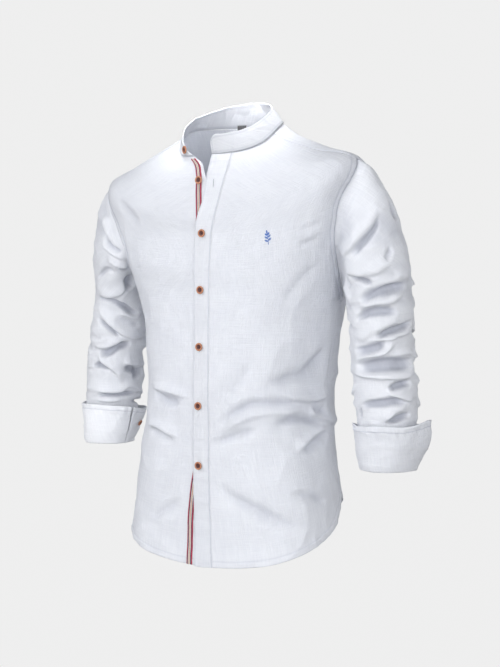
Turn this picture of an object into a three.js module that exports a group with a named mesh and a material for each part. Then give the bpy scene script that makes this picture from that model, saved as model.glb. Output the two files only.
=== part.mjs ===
// A long-sleeved shirt with a band collar, standing as it is worn: millimetres, +Z up.
// x points to the wearer's left, -y to the front. The origin is the middle of the neck opening, where the shoulders' neck points lie.
// Every cloth piece is a thin wall made from a curved surface: the body is one surface round the figure, cut into fronts and back along its seams,
// and the sleeves start from the armholes' own points.
import * as THREE from "three";

// ---------------------------------------------------------------- sizes
const WALL = 1.2; // panels and sleeves
const BAND_WALL = 1.0; // placket and button tape, laid on the fronts
const COLLAR_WALL = 2.4; // two layers and a stiffener
const CUFF_WALL = 1.8;
const GAP = 0.3; // between pieces at seams and between layers
const TAPE_WIDTH = 10.6;
const BUTTON_RADIUS = 6.3;
const BUTTON_HEIGHT = 2.6;
const CUFF_BUTTON_RADIUS = 5.2;
const RIGHT_FRONT_DROP = 2.8; // the right front lies this far under the left one where they overlap
const CAP_FULLNESS = { left: 1.22, right: 0.86 }; // how far the caps stand out from the armholes
const SLEEVE_TOP = -290; // height where the sleeve cap has become a tube
const PSI_STEPS = 24; // points round a sleeve

// ---------------------------------------------------------------- the body's rings
// Each row is one ring round the body. t names the ring; below the armpit it is simply its height.
// zFront, zSide, zBack: height at centre front, side and centre back; half: half width; yFront, ySide, yBack: depth there; square, squareBack: how boxy the front and back halves are.
const RINGS = table(
  ["t", "zFront", "zSide", "zBack", "half", "yFront", "ySide", "yBack", "square", "squareBack"],
  [
    [-700, -700, -700, -700, 191.0, -91.5, 18.5, 129.0, 0.04, 0.04], // below the hem
    [-630, -630, -630, -630, 184.2, -91.6, 18.5, 128.6, 0.04, 0.04], // hip
    [-590, -590, -590, -590, 177.9, -92.8, 16.6, 126.0, 0.04, 0.04],
    [-560, -560, -560, -560, 172.5, -93.6, 15.2, 124.0, 0.04, 0.04],
    [-520, -520, -520, -520, 164.5, -94.7, 18.5, 131.0, 0.04, 0.04],
    [-480, -480, -480, -480, 156.3, -95.1, 22.5, 141.0, 0.04, 0.04],
    [-440, -440, -440, -440, 150.0, -95.7, 26.0, 149.5, 0.04, 0.05],
    [-410, -410, -410, -410, 148.9, -95.3, 28.0, 153.0, 0.04, 0.05], // waist
    [-380, -380, -380, -380, 151.2, -94.6, 30.5, 156.5, 0.04, 0.05],
    [-350, -350, -350, -350, 155.3, -93.9, 32.4, 159.5, 0.04, 0.045],
    [-300, -300, -300, -300, 162.6, -92.4, 35.3, 162.0, 0.04, 0.04],
    [-265, -265, -265, -265, 170.5, -91.3, 34.0, 160.5, 0.05, 0.04], // armpit
    [-200, -215, -192, -207, 189.0, -91.0, 27.0, 155.0, 0.065, 0.03], // chest
    [-150, -174, -128, -155, 209.0, -89.0, 18.0, 145.0, 0.075, 0.0],
    [-100, -134, -60, -104, 223.0, -87.0, 8.0, 128.0, 0.07, -0.03], // through the shoulder points
    [-60, -100, -37, -59, 172.0, -84.5, 3.0, 108.0, 0.05, -0.03],
    [-30, -70, -14, -19, 122.0, -82.5, 0.0, 90.0, 0.03, -0.02],
    [0, -42, 4, 16, 85.0, -80.0, 0.0, 74.0, 0.0, 0.0], // neck seam
  ],
);
// Height of the neck seam round the neck, by angle from centre front.
const NECK_SEAM = table(
  ["angle", "z"],
  [
    [0, -42],
    [25, -41.5],
    [45, -36],
    [60, -26],
    [75, -11],
    [90, 3],
    [105, 11],
    [130, 15],
    [180, 16],
  ],
);
// The left front stands out a little beside the open neck.
const NECK_BULGE = { angle: 52, width: 28, out: 8 };

// ---------------------------------------------------------------- lines on the body
// Armholes, from the shoulder point (row 0) to the armpit (last row): ring t, angle of the front branch, angle of the back branch.
const ARMHOLE_LEFT = table(
  ["t", "front", "back"],
  [
    [-97, 84, 84],
    [-108, 78.5, 93],
    [-119, 74.5, 101],
    [-131, 71, 107],
    [-144, 69.7, 110],
    [-158, 70.5, 111.5],
    [-173, 72, 111.5],
    [-188, 75.5, 110.5],
    [-203, 80, 109],
    [-218, 84.5, 107],
    [-233, 89, 104.5],
    [-248, 94, 101.5],
    [-262, 98, 98],
  ],
);
const ARMHOLE_RIGHT = table(
  ["t", "front", "back"],
  [
    [-97, 84, 84],
    [-108, 74, 93],
    [-119, 65, 101],
    [-131, 57, 107],
    [-144, 52, 110],
    [-158, 50, 111.5],
    [-173, 49, 111.5],
    [-188, 50, 110.5],
    [-203, 56, 109],
    [-218, 66, 107],
    [-233, 78, 104.5],
    [-248, 89, 101.5],
    [-262, 98, 98],
  ],
);
// Shoulder seam, forward of the shoulder's ridge: angle at ring t.
const SHOULDER_SEAM = table(
  ["t", "angle"],
  [
    [-97, 84],
    [-90, 81.5],
    [-69, 78.2],
    [-46, 77],
    [-25, 77.5],
    [0, 79],
  ],
);
// Side seam: angle at ring t.
const SIDE_SEAM = table(
  ["t", "angle"],
  [
    [-700, 107],
    [-584, 106],
    [-420, 101],
    [-262, 98],
  ],
);
// Hem: height by angle from centre front, curved up to the side seams.
const HEM = table(
  ["angle", "z"],
  [
    [0, -684],
    [15, -680],
    [34, -671],
    [49, -658.5],
    [61, -648],
    [77, -632],
    [92, -612],
    [101, -594],
    [106, -585],
    [112, -584],
    [120, -590],
    [130, -599],
    [140, -612],
    [150, -628],
    [160, -645],
    [170, -657],
    [180, -661],
  ],
);
// Front edges and the placket's inner stitch line: x at ring t. Above the first fastened button the two edges part.
const LEFT_EDGE = table(
  ["t", "x"],
  [
    [-700, -11.8],
    [-551, -11.9],
    [-345, -11.2],
    [-250, -12],
    [-141, -12.3],
    [-111, -10.2],
    [-74, -0.4],
    [-38.8, 5.5],
    [0, 13.4],
  ],
);
const PLACKET_LINE = table(
  ["t", "x"],
  [
    [-700, 21.8],
    [-592, 18.7],
    [-483, 18.4],
    [-350, 16.8],
    [-267, 16],
    [-171, 18],
    [-138, 19],
    [-108, 23.6],
    [-43, 38.9],
    [-26, 44.3],
    [0, 47.3],
  ],
);
const RIGHT_EDGE = table(
  ["t", "x"],
  [
    [-700, -6],
    [-600, -6],
    [-551, 9],
    [-345, 14],
    [-141, 13],
    [-110, 12],
    [-60, 8],
    [-39, 3],
    [-28, -1.1],
    [-14, -6.5],
    [0, -23.4],
  ],
);
const TAPE_LINE = table(
  ["t", "x"],
  [
    [-700, -24],
    [-600, -19.3],
    [-565, -14],
    [-520, -6],
    [-345, -5],
    [-141, -5],
    [-110, -5.4],
    [-60, -8.2],
    [-30, -9.7],
    [-14, -14.8],
    [-5, -23],
  ],
);

// ---------------------------------------------------------------- collar, sleeves, cuffs
// Collar's top edge: height by angle; its plan is an ellipse that leans in over the neck.
const COLLAR_TOP = table(
  ["angle", "z"],
  [
    [0, -12],
    [30, -11],
    [50, -5],
    [68, 5],
    [85, 18],
    [105, 31],
    [123, 40],
    [150, 51],
    [180, 56],
  ],
);
const COLLAR_TOP_PLAN = { halfWidth: 70, halfDepth: 72, yMiddle: -12 };
const COLLAR_LEFT_END = 9; // angle of the left end, upright
const COLLAR_RIGHT_END = [-16, -50]; // angle of the right end at the seam and at the top: it falls open
const COLLAR_CORNER = 16; // radius of the rounded corners

// Sleeve tube below the cap: height, middle, half width and half depth.
const SLEEVE_LEFT = table(
  ["z", "x", "y", "halfX", "halfY"],
  [
    [-503, 262, 30, 41, 41],
    [-470, 261, 30, 45, 46],
    [-420, 259, 30, 49, 49],
    [-340, 253, 31, 50, 51],
    [-290, 250, 30, 53, 53],
  ],
);
const SLEEVE_RIGHT = table(
  ["z", "x", "y", "halfX", "halfY"],
  [
    [-493, 267, 31, 41, 41],
    [-460, 266, 31, 45, 46],
    [-420, 264, 31, 49, 49],
    [-340, 254, 31, 50, 51],
    [-290, 245, 30, 51, 53],
  ],
);
// The largest folds of the sleeves: where a fold's crest starts and ends (angle round the sleeve, height), how far it stands out and its half width.
// Angle 0 is the front, 90 the outside, 180 the back, 270 the inside.
const SLEEVE_FOLDS = table(
  ["psi0", "z0", "psi1", "z1", "out", "wide"],
  [
    [-30, -230, 60, -205, 5, 16],
    [-60, -268, 40, -256, 6, 13],
    [30, -300, 120, -268, 6, 13],
    [-70, -352, 20, -296, 6, 13],
    [10, -306, 130, -318, 6, 12],
    [-60, -392, 60, -340, 7, 14],
    [60, -352, 170, -372, 6, 13],
    [-40, -402, 90, -414, 7, 13],
    [150, -240, 230, -262, 5, 14],
    [140, -300, 240, -322, 6, 13],
    [170, -352, 260, -338, 5, 13],
    [150, -420, 270, -398, 6, 13],
  ],
);

// Turned-back cuffs: height, middle and radius of the outside; open in a V at the slit.
const CUFF_LEFT = {
  slit: 150,
  openTop: 13,
  rows: table(
    ["z", "x", "y", "radius"],
    [
      [-455, 269, 30, 60],
      [-478, 267.2, 30, 55],
      [-502, 264.8, 30, 49.4],
      [-520, 263.2, 30, 45],
      [-525, 262.8, 30, 42.5],
      [-519, 262.6, 30, 40.8],
      [-506, 262.2, 30, 40.8],
    ],
  ),
};
const CUFF_RIGHT = {
  slit: -72,
  openTop: 4.5,
  rows: table(
    ["z", "x", "y", "radius"],
    [
      [-447, 261, 30, 55],
      [-469, 263.6, 30, 52],
      [-491, 266.2, 30, 49],
      [-509, 269.5, 30, 44.5],
      [-515, 270.4, 30, 41.6],
      [-509, 268.8, 30, 39.7],
      [-496, 267.2, 30, 40.8],
    ],
  ),
};
// Buttons down the front: ring t and x; the two upper ones are undone.
const FRONT_BUTTONS = table(
  ["t", "x"],
  [
    [-138, 1.4],
    [-249.6, 0],
    [-340.2, 0],
    [-431.7, -0.7],
    [-524.5, -0.6],
  ],
);
const TAPE_BUTTON = { t: -41.2, x: -9.2 };
const COLLAR_BUTTON = { angle: -30, up: 0.42 };
const LABEL = { angle: 196, width: 14, height: 10, wall: 1.0 };

// ---------------------------------------------------------------- small tools
function table(columns, rows) {
  const out = {};
  columns.forEach((name, i) => (out[name] = rows.map((r) => r[i])));
  out.columns = columns;
  out.length = rows.length;
  return out;
}
const rad = (deg) => (deg * Math.PI) / 180;
const clamp = (v, a, b) => Math.min(b, Math.max(a, v));
const mix = (a, b, w) => a + (b - a) * w;
const smooth = (w) => {
  const c = clamp(w, 0, 1);
  return c * c * (3 - 2 * c);
};
// Smooth curve through a table's rows, by its first column.
function curve(tab, key, name, at) {
  const ts = tab[key],
    vs = tab[name],
    n = ts.length;
  let i = 0;
  while (i < n - 2 && at > ts[i + 1]) i++;
  const slope = (j) => (vs[j + 1] - vs[j]) / (ts[j + 1] - ts[j]);
  const tangent = (j) => {
    if (j === 0) return slope(0);
    if (j === n - 1) return slope(n - 2);
    const a = ts[j] - ts[j - 1],
      b = ts[j + 1] - ts[j];
    return (slope(j - 1) * b + slope(j) * a) / (a + b);
  };
  const h = ts[i + 1] - ts[i],
    s = (at - ts[i]) / h;
  const s2 = s * s,
    s3 = s2 * s;
  return (
    (2 * s3 - 3 * s2 + 1) * vs[i] +
    (s3 - 2 * s2 + s) * h * tangent(i) +
    (3 * s2 - 2 * s3) * vs[i + 1] +
    (s3 - s2) * h * tangent(i + 1)
  );
}
const V = (x, y, z) => new THREE.Vector3(x, y, z);
const signedAngle = (deg) => ((((deg + 180) % 360) + 360) % 360) - 180;

// ---------------------------------------------------------------- the body's surface
function body(angle, t) {
  const r = {};
  for (const name of RINGS.columns) r[name] = curve(RINGS, "t", name, t);
  const p = rad(angle);
  const k = Math.cos(p) > 0 ? r.square : r.squareBack;
  const c = (Math.cos(p) - k * Math.cos(3 * p)) / (1 - k);
  const s = (Math.sin(p) + k * Math.sin(3 * p)) / (1 - k);
  let x = r.half * s;
  let y = c > 0 ? mix(r.ySide, r.yFront, c) : mix(r.ySide, r.yBack, -c);
  const c2 = Math.cos(p) ** 2;
  let z = mix(r.zSide, c > 0 ? r.zFront : r.zBack, c2);
  const w = smooth((t + 90) / 90);
  if (w > 0) {
    const neck = curve(NECK_SEAM, "angle", "z", Math.abs(signedAngle(angle)));
    const plain = mix(4, c > 0 ? -42 : 16, c2);
    z += w * (neck - plain);
    const bulge =
      w *
      NECK_BULGE.out *
      Math.exp(-(((signedAngle(angle) - NECK_BULGE.angle) / NECK_BULGE.width) ** 2));
    x += bulge * Math.sin(p);
    y -= bulge * Math.cos(p);
  }
  return V(x, y, z);
}
function bodyNormal(angle, t) {
  const a = body(angle + 0.5, t).sub(body(angle - 0.5, t));
  const b = body(angle, t + 2).sub(body(angle, t - 2));
  return a.cross(b).normalize();
}
// The angle near the front where the ring t has the given x.
function angleAtX(x, t) {
  let a = 0;
  for (let i = 0; i < 12; i++) {
    const d = (body(a + 0.5, t).x - body(a - 0.5, t).x) / 1;
    a -= clamp((body(a, t).x - x) / d, -12, 12);
  }
  return a;
}

// ---------------------------------------------------------------- cloth walls
// A closed wall from a grid of points with directions: rows by columns, from offset lower to offset upper along each direction.
// closed: the last column joins the first, as round a sleeve.
function wall(rows, lower, upper, closed = false) {
  const nr = rows.length,
    nc = rows[0].length;
  const pos = [];
  const at = (skin, i, j) => (skin * nr + i) * nc + (j % nc);
  for (const skin of [lower, upper])
    for (const row of rows)
      for (const q of row) {
        const off = typeof skin === "function" ? skin(q) : skin;
        const p = q.p.clone().addScaledVector(q.n, off);
        pos.push(p.x, p.y, p.z);
      }
  const idx = [];
  const quad = (a, b, c, d) => idx.push(a, b, c, a, c, d);
  const cells = closed ? nc : nc - 1;
  for (let i = 0; i < nr - 1; i++)
    for (let j = 0; j < cells; j++) {
      quad(at(1, i, j), at(1, i, j + 1), at(1, i + 1, j + 1), at(1, i + 1, j));
      quad(at(0, i, j), at(0, i + 1, j), at(0, i + 1, j + 1), at(0, i, j + 1));
    }
  for (let j = 0; j < cells; j++) {
    quad(at(0, 0, j), at(0, 0, j + 1), at(1, 0, j + 1), at(1, 0, j));
    quad(at(1, nr - 1, j), at(1, nr - 1, j + 1), at(0, nr - 1, j + 1), at(0, nr - 1, j));
  }
  if (!closed)
    for (let i = 0; i < nr - 1; i++) {
      quad(at(0, i, 0), at(1, i, 0), at(1, i + 1, 0), at(0, i + 1, 0));
      quad(at(1, i, nc - 1), at(0, i, nc - 1), at(0, i + 1, nc - 1), at(1, i + 1, nc - 1));
    }
  const g = new THREE.BufferGeometry();
  g.setAttribute("position", new THREE.Float32BufferAttribute(pos, 3));
  // Turn the faces out if the rows run the other way.
  let volume = 0;
  const a = V(),
    b = V(),
    c = V();
  for (let i = 0; i < idx.length; i += 3) {
    a.fromArray(pos, idx[i] * 3);
    b.fromArray(pos, idx[i + 1] * 3);
    c.fromArray(pos, idx[i + 2] * 3);
    volume += a.dot(b.cross(c));
  }
  if (volume < 0) for (let i = 0; i < idx.length; i += 3) [idx[i + 1], idx[i + 2]] = [idx[i + 2], idx[i + 1]];
  g.setIndex(idx);
  g.computeVertexNormals();
  return g;
}
// Directions across a free grid, from its neighbours.
function withNormals(points, closed, outward) {
  const nr = points.length,
    nc = points[0].length;
  return points.map((row, i) =>
    row.map((p, j) => {
      const jl = closed ? (j + nc - 1) % nc : Math.max(0, j - 1),
        jr = closed ? (j + 1) % nc : Math.min(nc - 1, j + 1);
      const a = row[jr].clone().sub(row[jl]);
      const b = points[Math.min(nr - 1, i + 1)][j].clone().sub(points[Math.max(0, i - 1)][j]);
      const n = a.cross(b).normalize();
      if (outward && n.dot(outward(p)) < 0) n.negate();
      return { p, n };
    }),
  );
}

// ---------------------------------------------------------------- armholes
const armholeOf = (side) => (side > 0 ? ARMHOLE_LEFT : ARMHOLE_RIGHT);
// Row i of an armhole's branch, as a point of the body with the direction across the seam, away from the body.
function armholePoint(side, branch, i) {
  const tab = armholeOf(side),
    last = tab.length - 1;
  const ang = (k) => side * tab[branch][k];
  const pt = (k) => body(ang(k), tab.t[k]);
  const p = pt(i),
    n = bodyNormal(ang(i), tab.t[i]);
  const other = branch === "front" ? "back" : "front";
  const before = i > 0 ? pt(i - 1) : body(side * tab[other][1], tab.t[1]);
  const after = i < last ? pt(i + 1) : body(side * tab[other][last - 1], tab.t[last - 1]);
  const along = after.clone().sub(before).normalize();
  const across = along.cross(n).normalize();
  const middle = body(side * 91, -165);
  const inPlane = middle.clone().sub(p);
  if (across.dot(inPlane) < 0) across.negate();
  if (i === 0) across.copy(inPlane).addScaledVector(n, -inPlane.dot(n)).normalize();
  return { p, n, across, angle: ang(i), t: tab.t[i] };
}

// ---------------------------------------------------------------- fronts and back
// Rows of rings that every body piece shares: hem rows, then the armhole's own rows, then the shoulder's.
const LOWER_ROWS = [-700, -664, -618, -565, -510]; // these follow the hem
const MIDDLE_ROWS = [-465, -430, -390, -345, -300];
const SHOULDER_ROWS = [-74, -44, -14, 0];
function hemShift(t, angle) {
  // Below t = -500 the rows spread down to the hem.
  if (t >= -500) return t; // the rows above keep their height
  const hem = curve(HEM, "angle", "z", Math.abs(signedAngle(angle)));
  return mix(-500, hem, (t + 500) / (-700 + 500));
}
function panelRow(side, t, armRow, lines, columns, drop) {
  // lines: x of the front edge and of the lines beside it that a band lies between; to: the side seam, armhole or shoulder seam.
  let to, pull;
  if (armRow !== null) {
    const q = armholePoint(side, "front", armRow);
    to = q.angle;
    pull = q;
  } else if (t < -262) to = side * curve(SIDE_SEAM, "t", "angle", t);
  else to = side * curve(SHOULDER_SEAM, "t", "angle", t);
  const row = [];
  const first = lines.map((x) => angleAtX(x(t), t));
  const inner = first.length - 1;
  for (let j = 0; j <= columns; j++) {
    const angle = j < inner ? first[j] : mix(first[inner], to, (j - inner) / (columns - inner));
    const tt = hemShift(t, angle);
    const q = { p: body(angle, tt), n: bodyNormal(angle, tt), drop: drop ? drop(body(angle, tt)) : 0 };
    if (j === columns) {
      if (pull) q.p.addScaledVector(pull.across, -GAP / 2);
      else {
        const along = body(angle + side * 0.5, tt).sub(q.p).normalize();
        q.p.addScaledVector(along, -GAP / 2);
      }
    }
    row.push(q);
  }
  return row;
}
function frontRows(side, lines, columns, drop) {
  const rows = [];
  const add = (t, armRow) => rows.push(Object.assign(panelRow(side, t, armRow, lines, columns, drop), { t }));
  for (const t of [...LOWER_ROWS, ...MIDDLE_ROWS]) add(t, null);
  const tab = armholeOf(side);
  for (let i = tab.length - 1; i >= 0; i--) add(tab.t[i], i);
  for (const t of SHOULDER_ROWS) add(t, null);
  return rows;
}
function backRows(columns) {
  const rows = [];
  const add = (t, armRow) => {
    const ends = [1, -1].map((side) => {
      if (armRow !== null) {
        const q = armholePoint(side, "back", armRow);
        return { angle: q.angle, pull: q.across.clone().multiplyScalar(-GAP / 2) };
      }
      const tab = t < -262 ? SIDE_SEAM : SHOULDER_SEAM;
      const angle = side * curve(tab, "t", "angle", t);
      const tt = hemShift(t, angle);
      return { angle, pull: body(angle + side * 0.5, tt).sub(body(angle, tt)).setLength(GAP / 2) };
    });
    const row = [];
    for (let j = 0; j <= columns; j++) {
      const angle = mix(ends[0].angle, 360 + ends[1].angle, j / columns);
      const tt = hemShift(t, angle);
      const q = { p: body(angle, tt), n: bodyNormal(angle, tt) };
      if (j === 0) q.p.add(ends[0].pull);
      if (j === columns) q.p.add(ends[1].pull);
      row.push(q);
    }
    rows.push(row);
  };
  for (const t of [...LOWER_ROWS, ...MIDDLE_ROWS]) add(t, null);
  for (let i = ARMHOLE_LEFT.length - 1; i >= 0; i--) add(ARMHOLE_LEFT.t[i], i);
  for (const t of SHOULDER_ROWS) add(t, null);
  return rows;
}
// A band laid on a front takes the front's own columns.
const bandOf = (rows, first, last) => rows.map((row) => row.slice(first, last + 1));
const rightDrop = (p) => RIGHT_FRONT_DROP * smooth((p.x + 85) / 45);

// ---------------------------------------------------------------- sleeves
function tubePoint(side, psi, z) {
  const tab = side > 0 ? SLEEVE_LEFT : SLEEVE_RIGHT;
  const v = (name) => curve(tab, "z", name, z);
  const p = rad(psi);
  return V(side * (v("x") + v("halfX") * Math.sin(p)), v("y") - v("halfY") * Math.cos(p), z);
}
function foldAt(side, psi, z) {
  let out = 0;
  for (let k = 0; k < SLEEVE_FOLDS.length; k++) {
    const f = (name) => SLEEVE_FOLDS[name][k];
    for (const turn of [-360, 0, 360]) {
      const x = (psi + turn) * 0.87,
        x0 = f("psi0") * 0.87,
        x1 = f("psi1") * 0.87;
      const dx = x1 - x0,
        dz = f("z1") - f("z0");
      const len = Math.hypot(dx, dz);
      const u = ((x - x0) * dx + (z - f("z0")) * dz) / (len * len);
      const away = Math.abs((x - x0) * dz - (z - f("z0")) * dx) / len;
      const ends = smooth((u + 0.12) / 0.3) * smooth((1.12 - u) / 0.3);
      out += f("out") * ends * Math.exp(-((away / f("wide")) ** 2) * 1.6);
    }
  }
  return out - 2.2;
}
function sleeveRows(side, capRows, tubeRows, bottom) {
  const tab = armholeOf(side),
    last = tab.length - 1;
  const starts = [];
  for (let k = 0; k < PSI_STEPS; k++) {
    // from the shoulder point down the front to the armpit and up the back
    const q = k <= last ? armholePoint(side, "front", k) : armholePoint(side, "back", PSI_STEPS - k);
    starts.push({ ...q, psi: 90 - (k * 360) / PSI_STEPS });
  }
  const full = side > 0 ? CAP_FULLNESS.left : CAP_FULLNESS.right;
  const rows = [];
  const points = [];
  for (let i = 0; i <= capRows; i++) {
    const w = i / capRows;
    points.push(
      starts.map((q) => {
        const up = (Math.sin(rad(q.psi)) + 1) / 2;
        const a = q.p.clone().addScaledVector(q.across, GAP / 2 + 0.45 * (1 - up));
        const end = tubePoint(side, q.psi, SLEEVE_TOP);
        const down = tubePoint(side, q.psi, SLEEVE_TOP - 5).sub(end).normalize();
        const out = V(side * (0.45 + 0.5 * up), -0.42 * Math.cos(rad(q.psi)), -0.85 + 0.35 * up)
          .addScaledVector(q.n, 0.75 * (1 - up))
          .normalize();
        const len = a.distanceTo(end);
        const w2 = w * w,
          w3 = w2 * w;
        const p = a
          .clone()
          .multiplyScalar(2 * w3 - 3 * w2 + 1)
          .addScaledVector(out, (w3 - 2 * w2 + w) * len * (0.55 + 0.35 * up) * mix(1, full, up))
          .addScaledVector(end, 3 * w2 - 2 * w3)
          .addScaledVector(down, (w3 - w2) * len * 0.9);
        return p;
      }),
    );
  }
  for (let i = 1; i <= tubeRows; i++) {
    const z = mix(SLEEVE_TOP, bottom, i / tubeRows);
    points.push(starts.map((q) => tubePoint(side, q.psi, z)));
  }
  // stand the folds out from the plain surface
  const plain = withNormals(points, true, (p) => V(p.x - side * 150, (p.y - 30) * 1.5, p.z < -250 ? 0 : 60));
  plain.forEach((row, i) => {
    const ease = smooth((i - 1) / 4) * smooth((plain.length - 1 - i) / 3);
    rows.push(
      row.map((q, k) => {
        const axis = tubePoint(side, 0, Math.min(q.p.z, SLEEVE_TOP));
        const radial = V(q.p.x - (side > 0 ? curve(SLEEVE_LEFT, "z", "x", Math.min(q.p.z, SLEEVE_TOP)) : -curve(SLEEVE_RIGHT, "z", "x", Math.min(q.p.z, SLEEVE_TOP))), q.p.y - 30, 0);
        const dir = i <= capRows ? q.n : radial.normalize();
        void axis;
        return q.p.clone().addScaledVector(dir, ease * foldAt(side, starts[k].psi, q.p.z));
      }),
    );
  });
  const made = withNormals(rows, true, (p) => V(p.x - side * (p.z > -262 ? 190 : 255), p.y - 30, p.z > -200 ? 60 : 0));
  made[0].forEach((q, k) => q.n.copy(starts[k].n));
  return made;
}

// ---------------------------------------------------------------- collar and cuffs
function collarPoint(angle, up) {
  const base = body(angle, 0).add(V(0, 0, GAP + 0.35));
  const p = rad(angle);
  const top = V(
    COLLAR_TOP_PLAN.halfWidth * Math.sin(p),
    COLLAR_TOP_PLAN.yMiddle - COLLAR_TOP_PLAN.halfDepth * Math.cos(p),
    curve(COLLAR_TOP, "angle", "z", Math.abs(signedAngle(angle))),
  );
  return base.lerp(top, up);
}
function collarRows(columns, ups) {
  const length = [];
  for (let j = 0; j <= columns; j++) length.push(j / columns);
  // more columns at the rounded ends
  const spread = (w) => {
    const e = 0.035;
    if (w < 0.12) return (w / 0.12) * e;
    if (w > 0.88) return 1 - ((1 - w) / 0.12) * e;
    return e + ((w - 0.12) / 0.76) * (1 - 2 * e);
  };
  const points = ups.map((up) =>
    length.map((w0) => {
      const w = spread(w0);
      const end = 360 + mix(COLLAR_RIGHT_END[0], COLLAR_RIGHT_END[1], up);
      const angle = mix(COLLAR_LEFT_END, end, w);
      const arc = Math.min(w, 1 - w) * 460; // distance from the nearer end
      const d = clamp(COLLAR_CORNER - arc, 0, COLLAR_CORNER);
      const cut = COLLAR_CORNER - Math.sqrt(Math.max(0, COLLAR_CORNER ** 2 - d ** 2));
      return collarPoint(angle, up * (1 - (cut * 0.9) / 30));
    }),
  );
  return withNormals(points, false, (p) => V(p.x, p.y + 5, 10));
}
function cuffRows(side, cuff, columns) {
  const { rows } = cuff;
  const points = [];
  for (let i = 0; i < rows.length; i++) {
    const outer = clamp(i / 3, 0, 1);
    const half = mix(cuff.openTop, 0.6, outer);
    const line = [];
    for (let j = 0; j <= columns; j++) {
      const psi = rad(mix(cuff.slit + half, cuff.slit + 360 - half, j / columns));
      line.push(
        V(side * (rows.x[i] + rows.radius[i] * Math.sin(psi)), rows.y[i] - rows.radius[i] * Math.cos(psi), rows.z[i]),
      );
    }
    points.push(line);
  }
  return withNormals(points, false);
}

// ---------------------------------------------------------------- buttons and label
function buttonGeometry(radius, height, segments) {
  const h = height,
    r = radius;
  const profile = [
    [0, 0],
    [r * 0.82, 0],
    [r, h * 0.35],
    [r, h * 0.7],
    [r * 0.88, h],
    [r * 0.66, h * 0.92],
    [r * 0.52, h * 0.62],
    [0, h * 0.62],
  ].map(([x, y]) => new THREE.Vector2(x, y));
  const g = new THREE.LatheGeometry(profile, segments);
  g.rotateX(Math.PI / 2); // its axis along +Z
  return g;
}
function placeOn(mesh, point, normal) {
  mesh.position.copy(point);
  mesh.quaternion.setFromUnitVectors(V(0, 0, 1), normal);
}

// ---------------------------------------------------------------- the shirt
const white = () => new THREE.MeshStandardMaterial({ color: 0xf1f3f8, roughness: 0.92, metalness: 0 });
const striped = () => new THREE.MeshStandardMaterial({ color: 0x8a2b38, roughness: 0.85, metalness: 0 });
const wood = () => new THREE.MeshStandardMaterial({ color: 0x7a3f30, roughness: 0.5, metalness: 0 });
const black = () => new THREE.MeshStandardMaterial({ color: 0x1b1b1e, roughness: 0.9, metalness: 0 });

const shirt = new THREE.Group();
const bodyGroup = new THREE.Group();
const sleeveGroup = new THREE.Group();
const trimGroup = new THREE.Group();
shirt.add(bodyGroup, sleeveGroup, trimGroup);
function piece(group, name, geometry, material) {
  const mesh = new THREE.Mesh(geometry, material);
  mesh.name = name;
  group.add(mesh);
  return mesh;
}

const lineX = (tab, shift = 0) => (t) => curve(tab, "t", "x", t) + shift;
const leftLines = [
  lineX(LEFT_EDGE),
  (t) => mix(lineX(LEFT_EDGE)(t), lineX(PLACKET_LINE)(t), 0.5),
  lineX(PLACKET_LINE),
];
const rightLines = [
  lineX(RIGHT_EDGE),
  (t) => Math.min(lineX(TAPE_LINE, TAPE_WIDTH / 2)(t), lineX(RIGHT_EDGE, -2)(t)),
  (t) => Math.min(lineX(TAPE_LINE)(t), lineX(RIGHT_EDGE, -5)(t)),
  (t) => Math.min(lineX(TAPE_LINE, -TAPE_WIDTH / 2)(t), lineX(RIGHT_EDGE, -9)(t)),
];
const leftRows = frontRows(1, leftLines, 10);
const rightRows = frontRows(-1, rightLines, 11, rightDrop);
piece(bodyGroup, "front_left", wall(leftRows, -WALL, 0), white());
piece(
  bodyGroup,
  "front_right",
  wall(
    rightRows,
    (q) => -WALL - q.drop,
    (q) => -q.drop,
  ),
  white(),
);
piece(bodyGroup, "back", wall(backRows(15), -WALL, 0), white());
piece(trimGroup, "placket", wall(bandOf(leftRows, 0, 2), GAP, GAP + BAND_WALL), white());
piece(
  trimGroup,
  "button_tape",
  wall(
    bandOf(
      rightRows.filter((row) => row.t <= -14),
      1,
      3,
    ),
    (q) => -q.drop + GAP,
    (q) => -q.drop + GAP + BAND_WALL,
  ),
  striped(),
);

piece(sleeveGroup, "sleeve_left", wall(sleeveRows(1, 8, 10, SLEEVE_LEFT.z[0]), -WALL, 0, true), white());
piece(sleeveGroup, "sleeve_right", wall(sleeveRows(-1, 8, 10, SLEEVE_RIGHT.z[0]), -WALL, 0, true), white());
piece(sleeveGroup, "cuff_left", wall(cuffRows(1, CUFF_LEFT, 20), -CUFF_WALL / 2, CUFF_WALL / 2), white());
piece(sleeveGroup, "cuff_right", wall(cuffRows(-1, CUFF_RIGHT, 20), -CUFF_WALL / 2, CUFF_WALL / 2), white());
piece(trimGroup, "collar", wall(collarRows(34, [0, 0.34, 0.67, 1]), -COLLAR_WALL / 2, COLLAR_WALL / 2), white());

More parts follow.
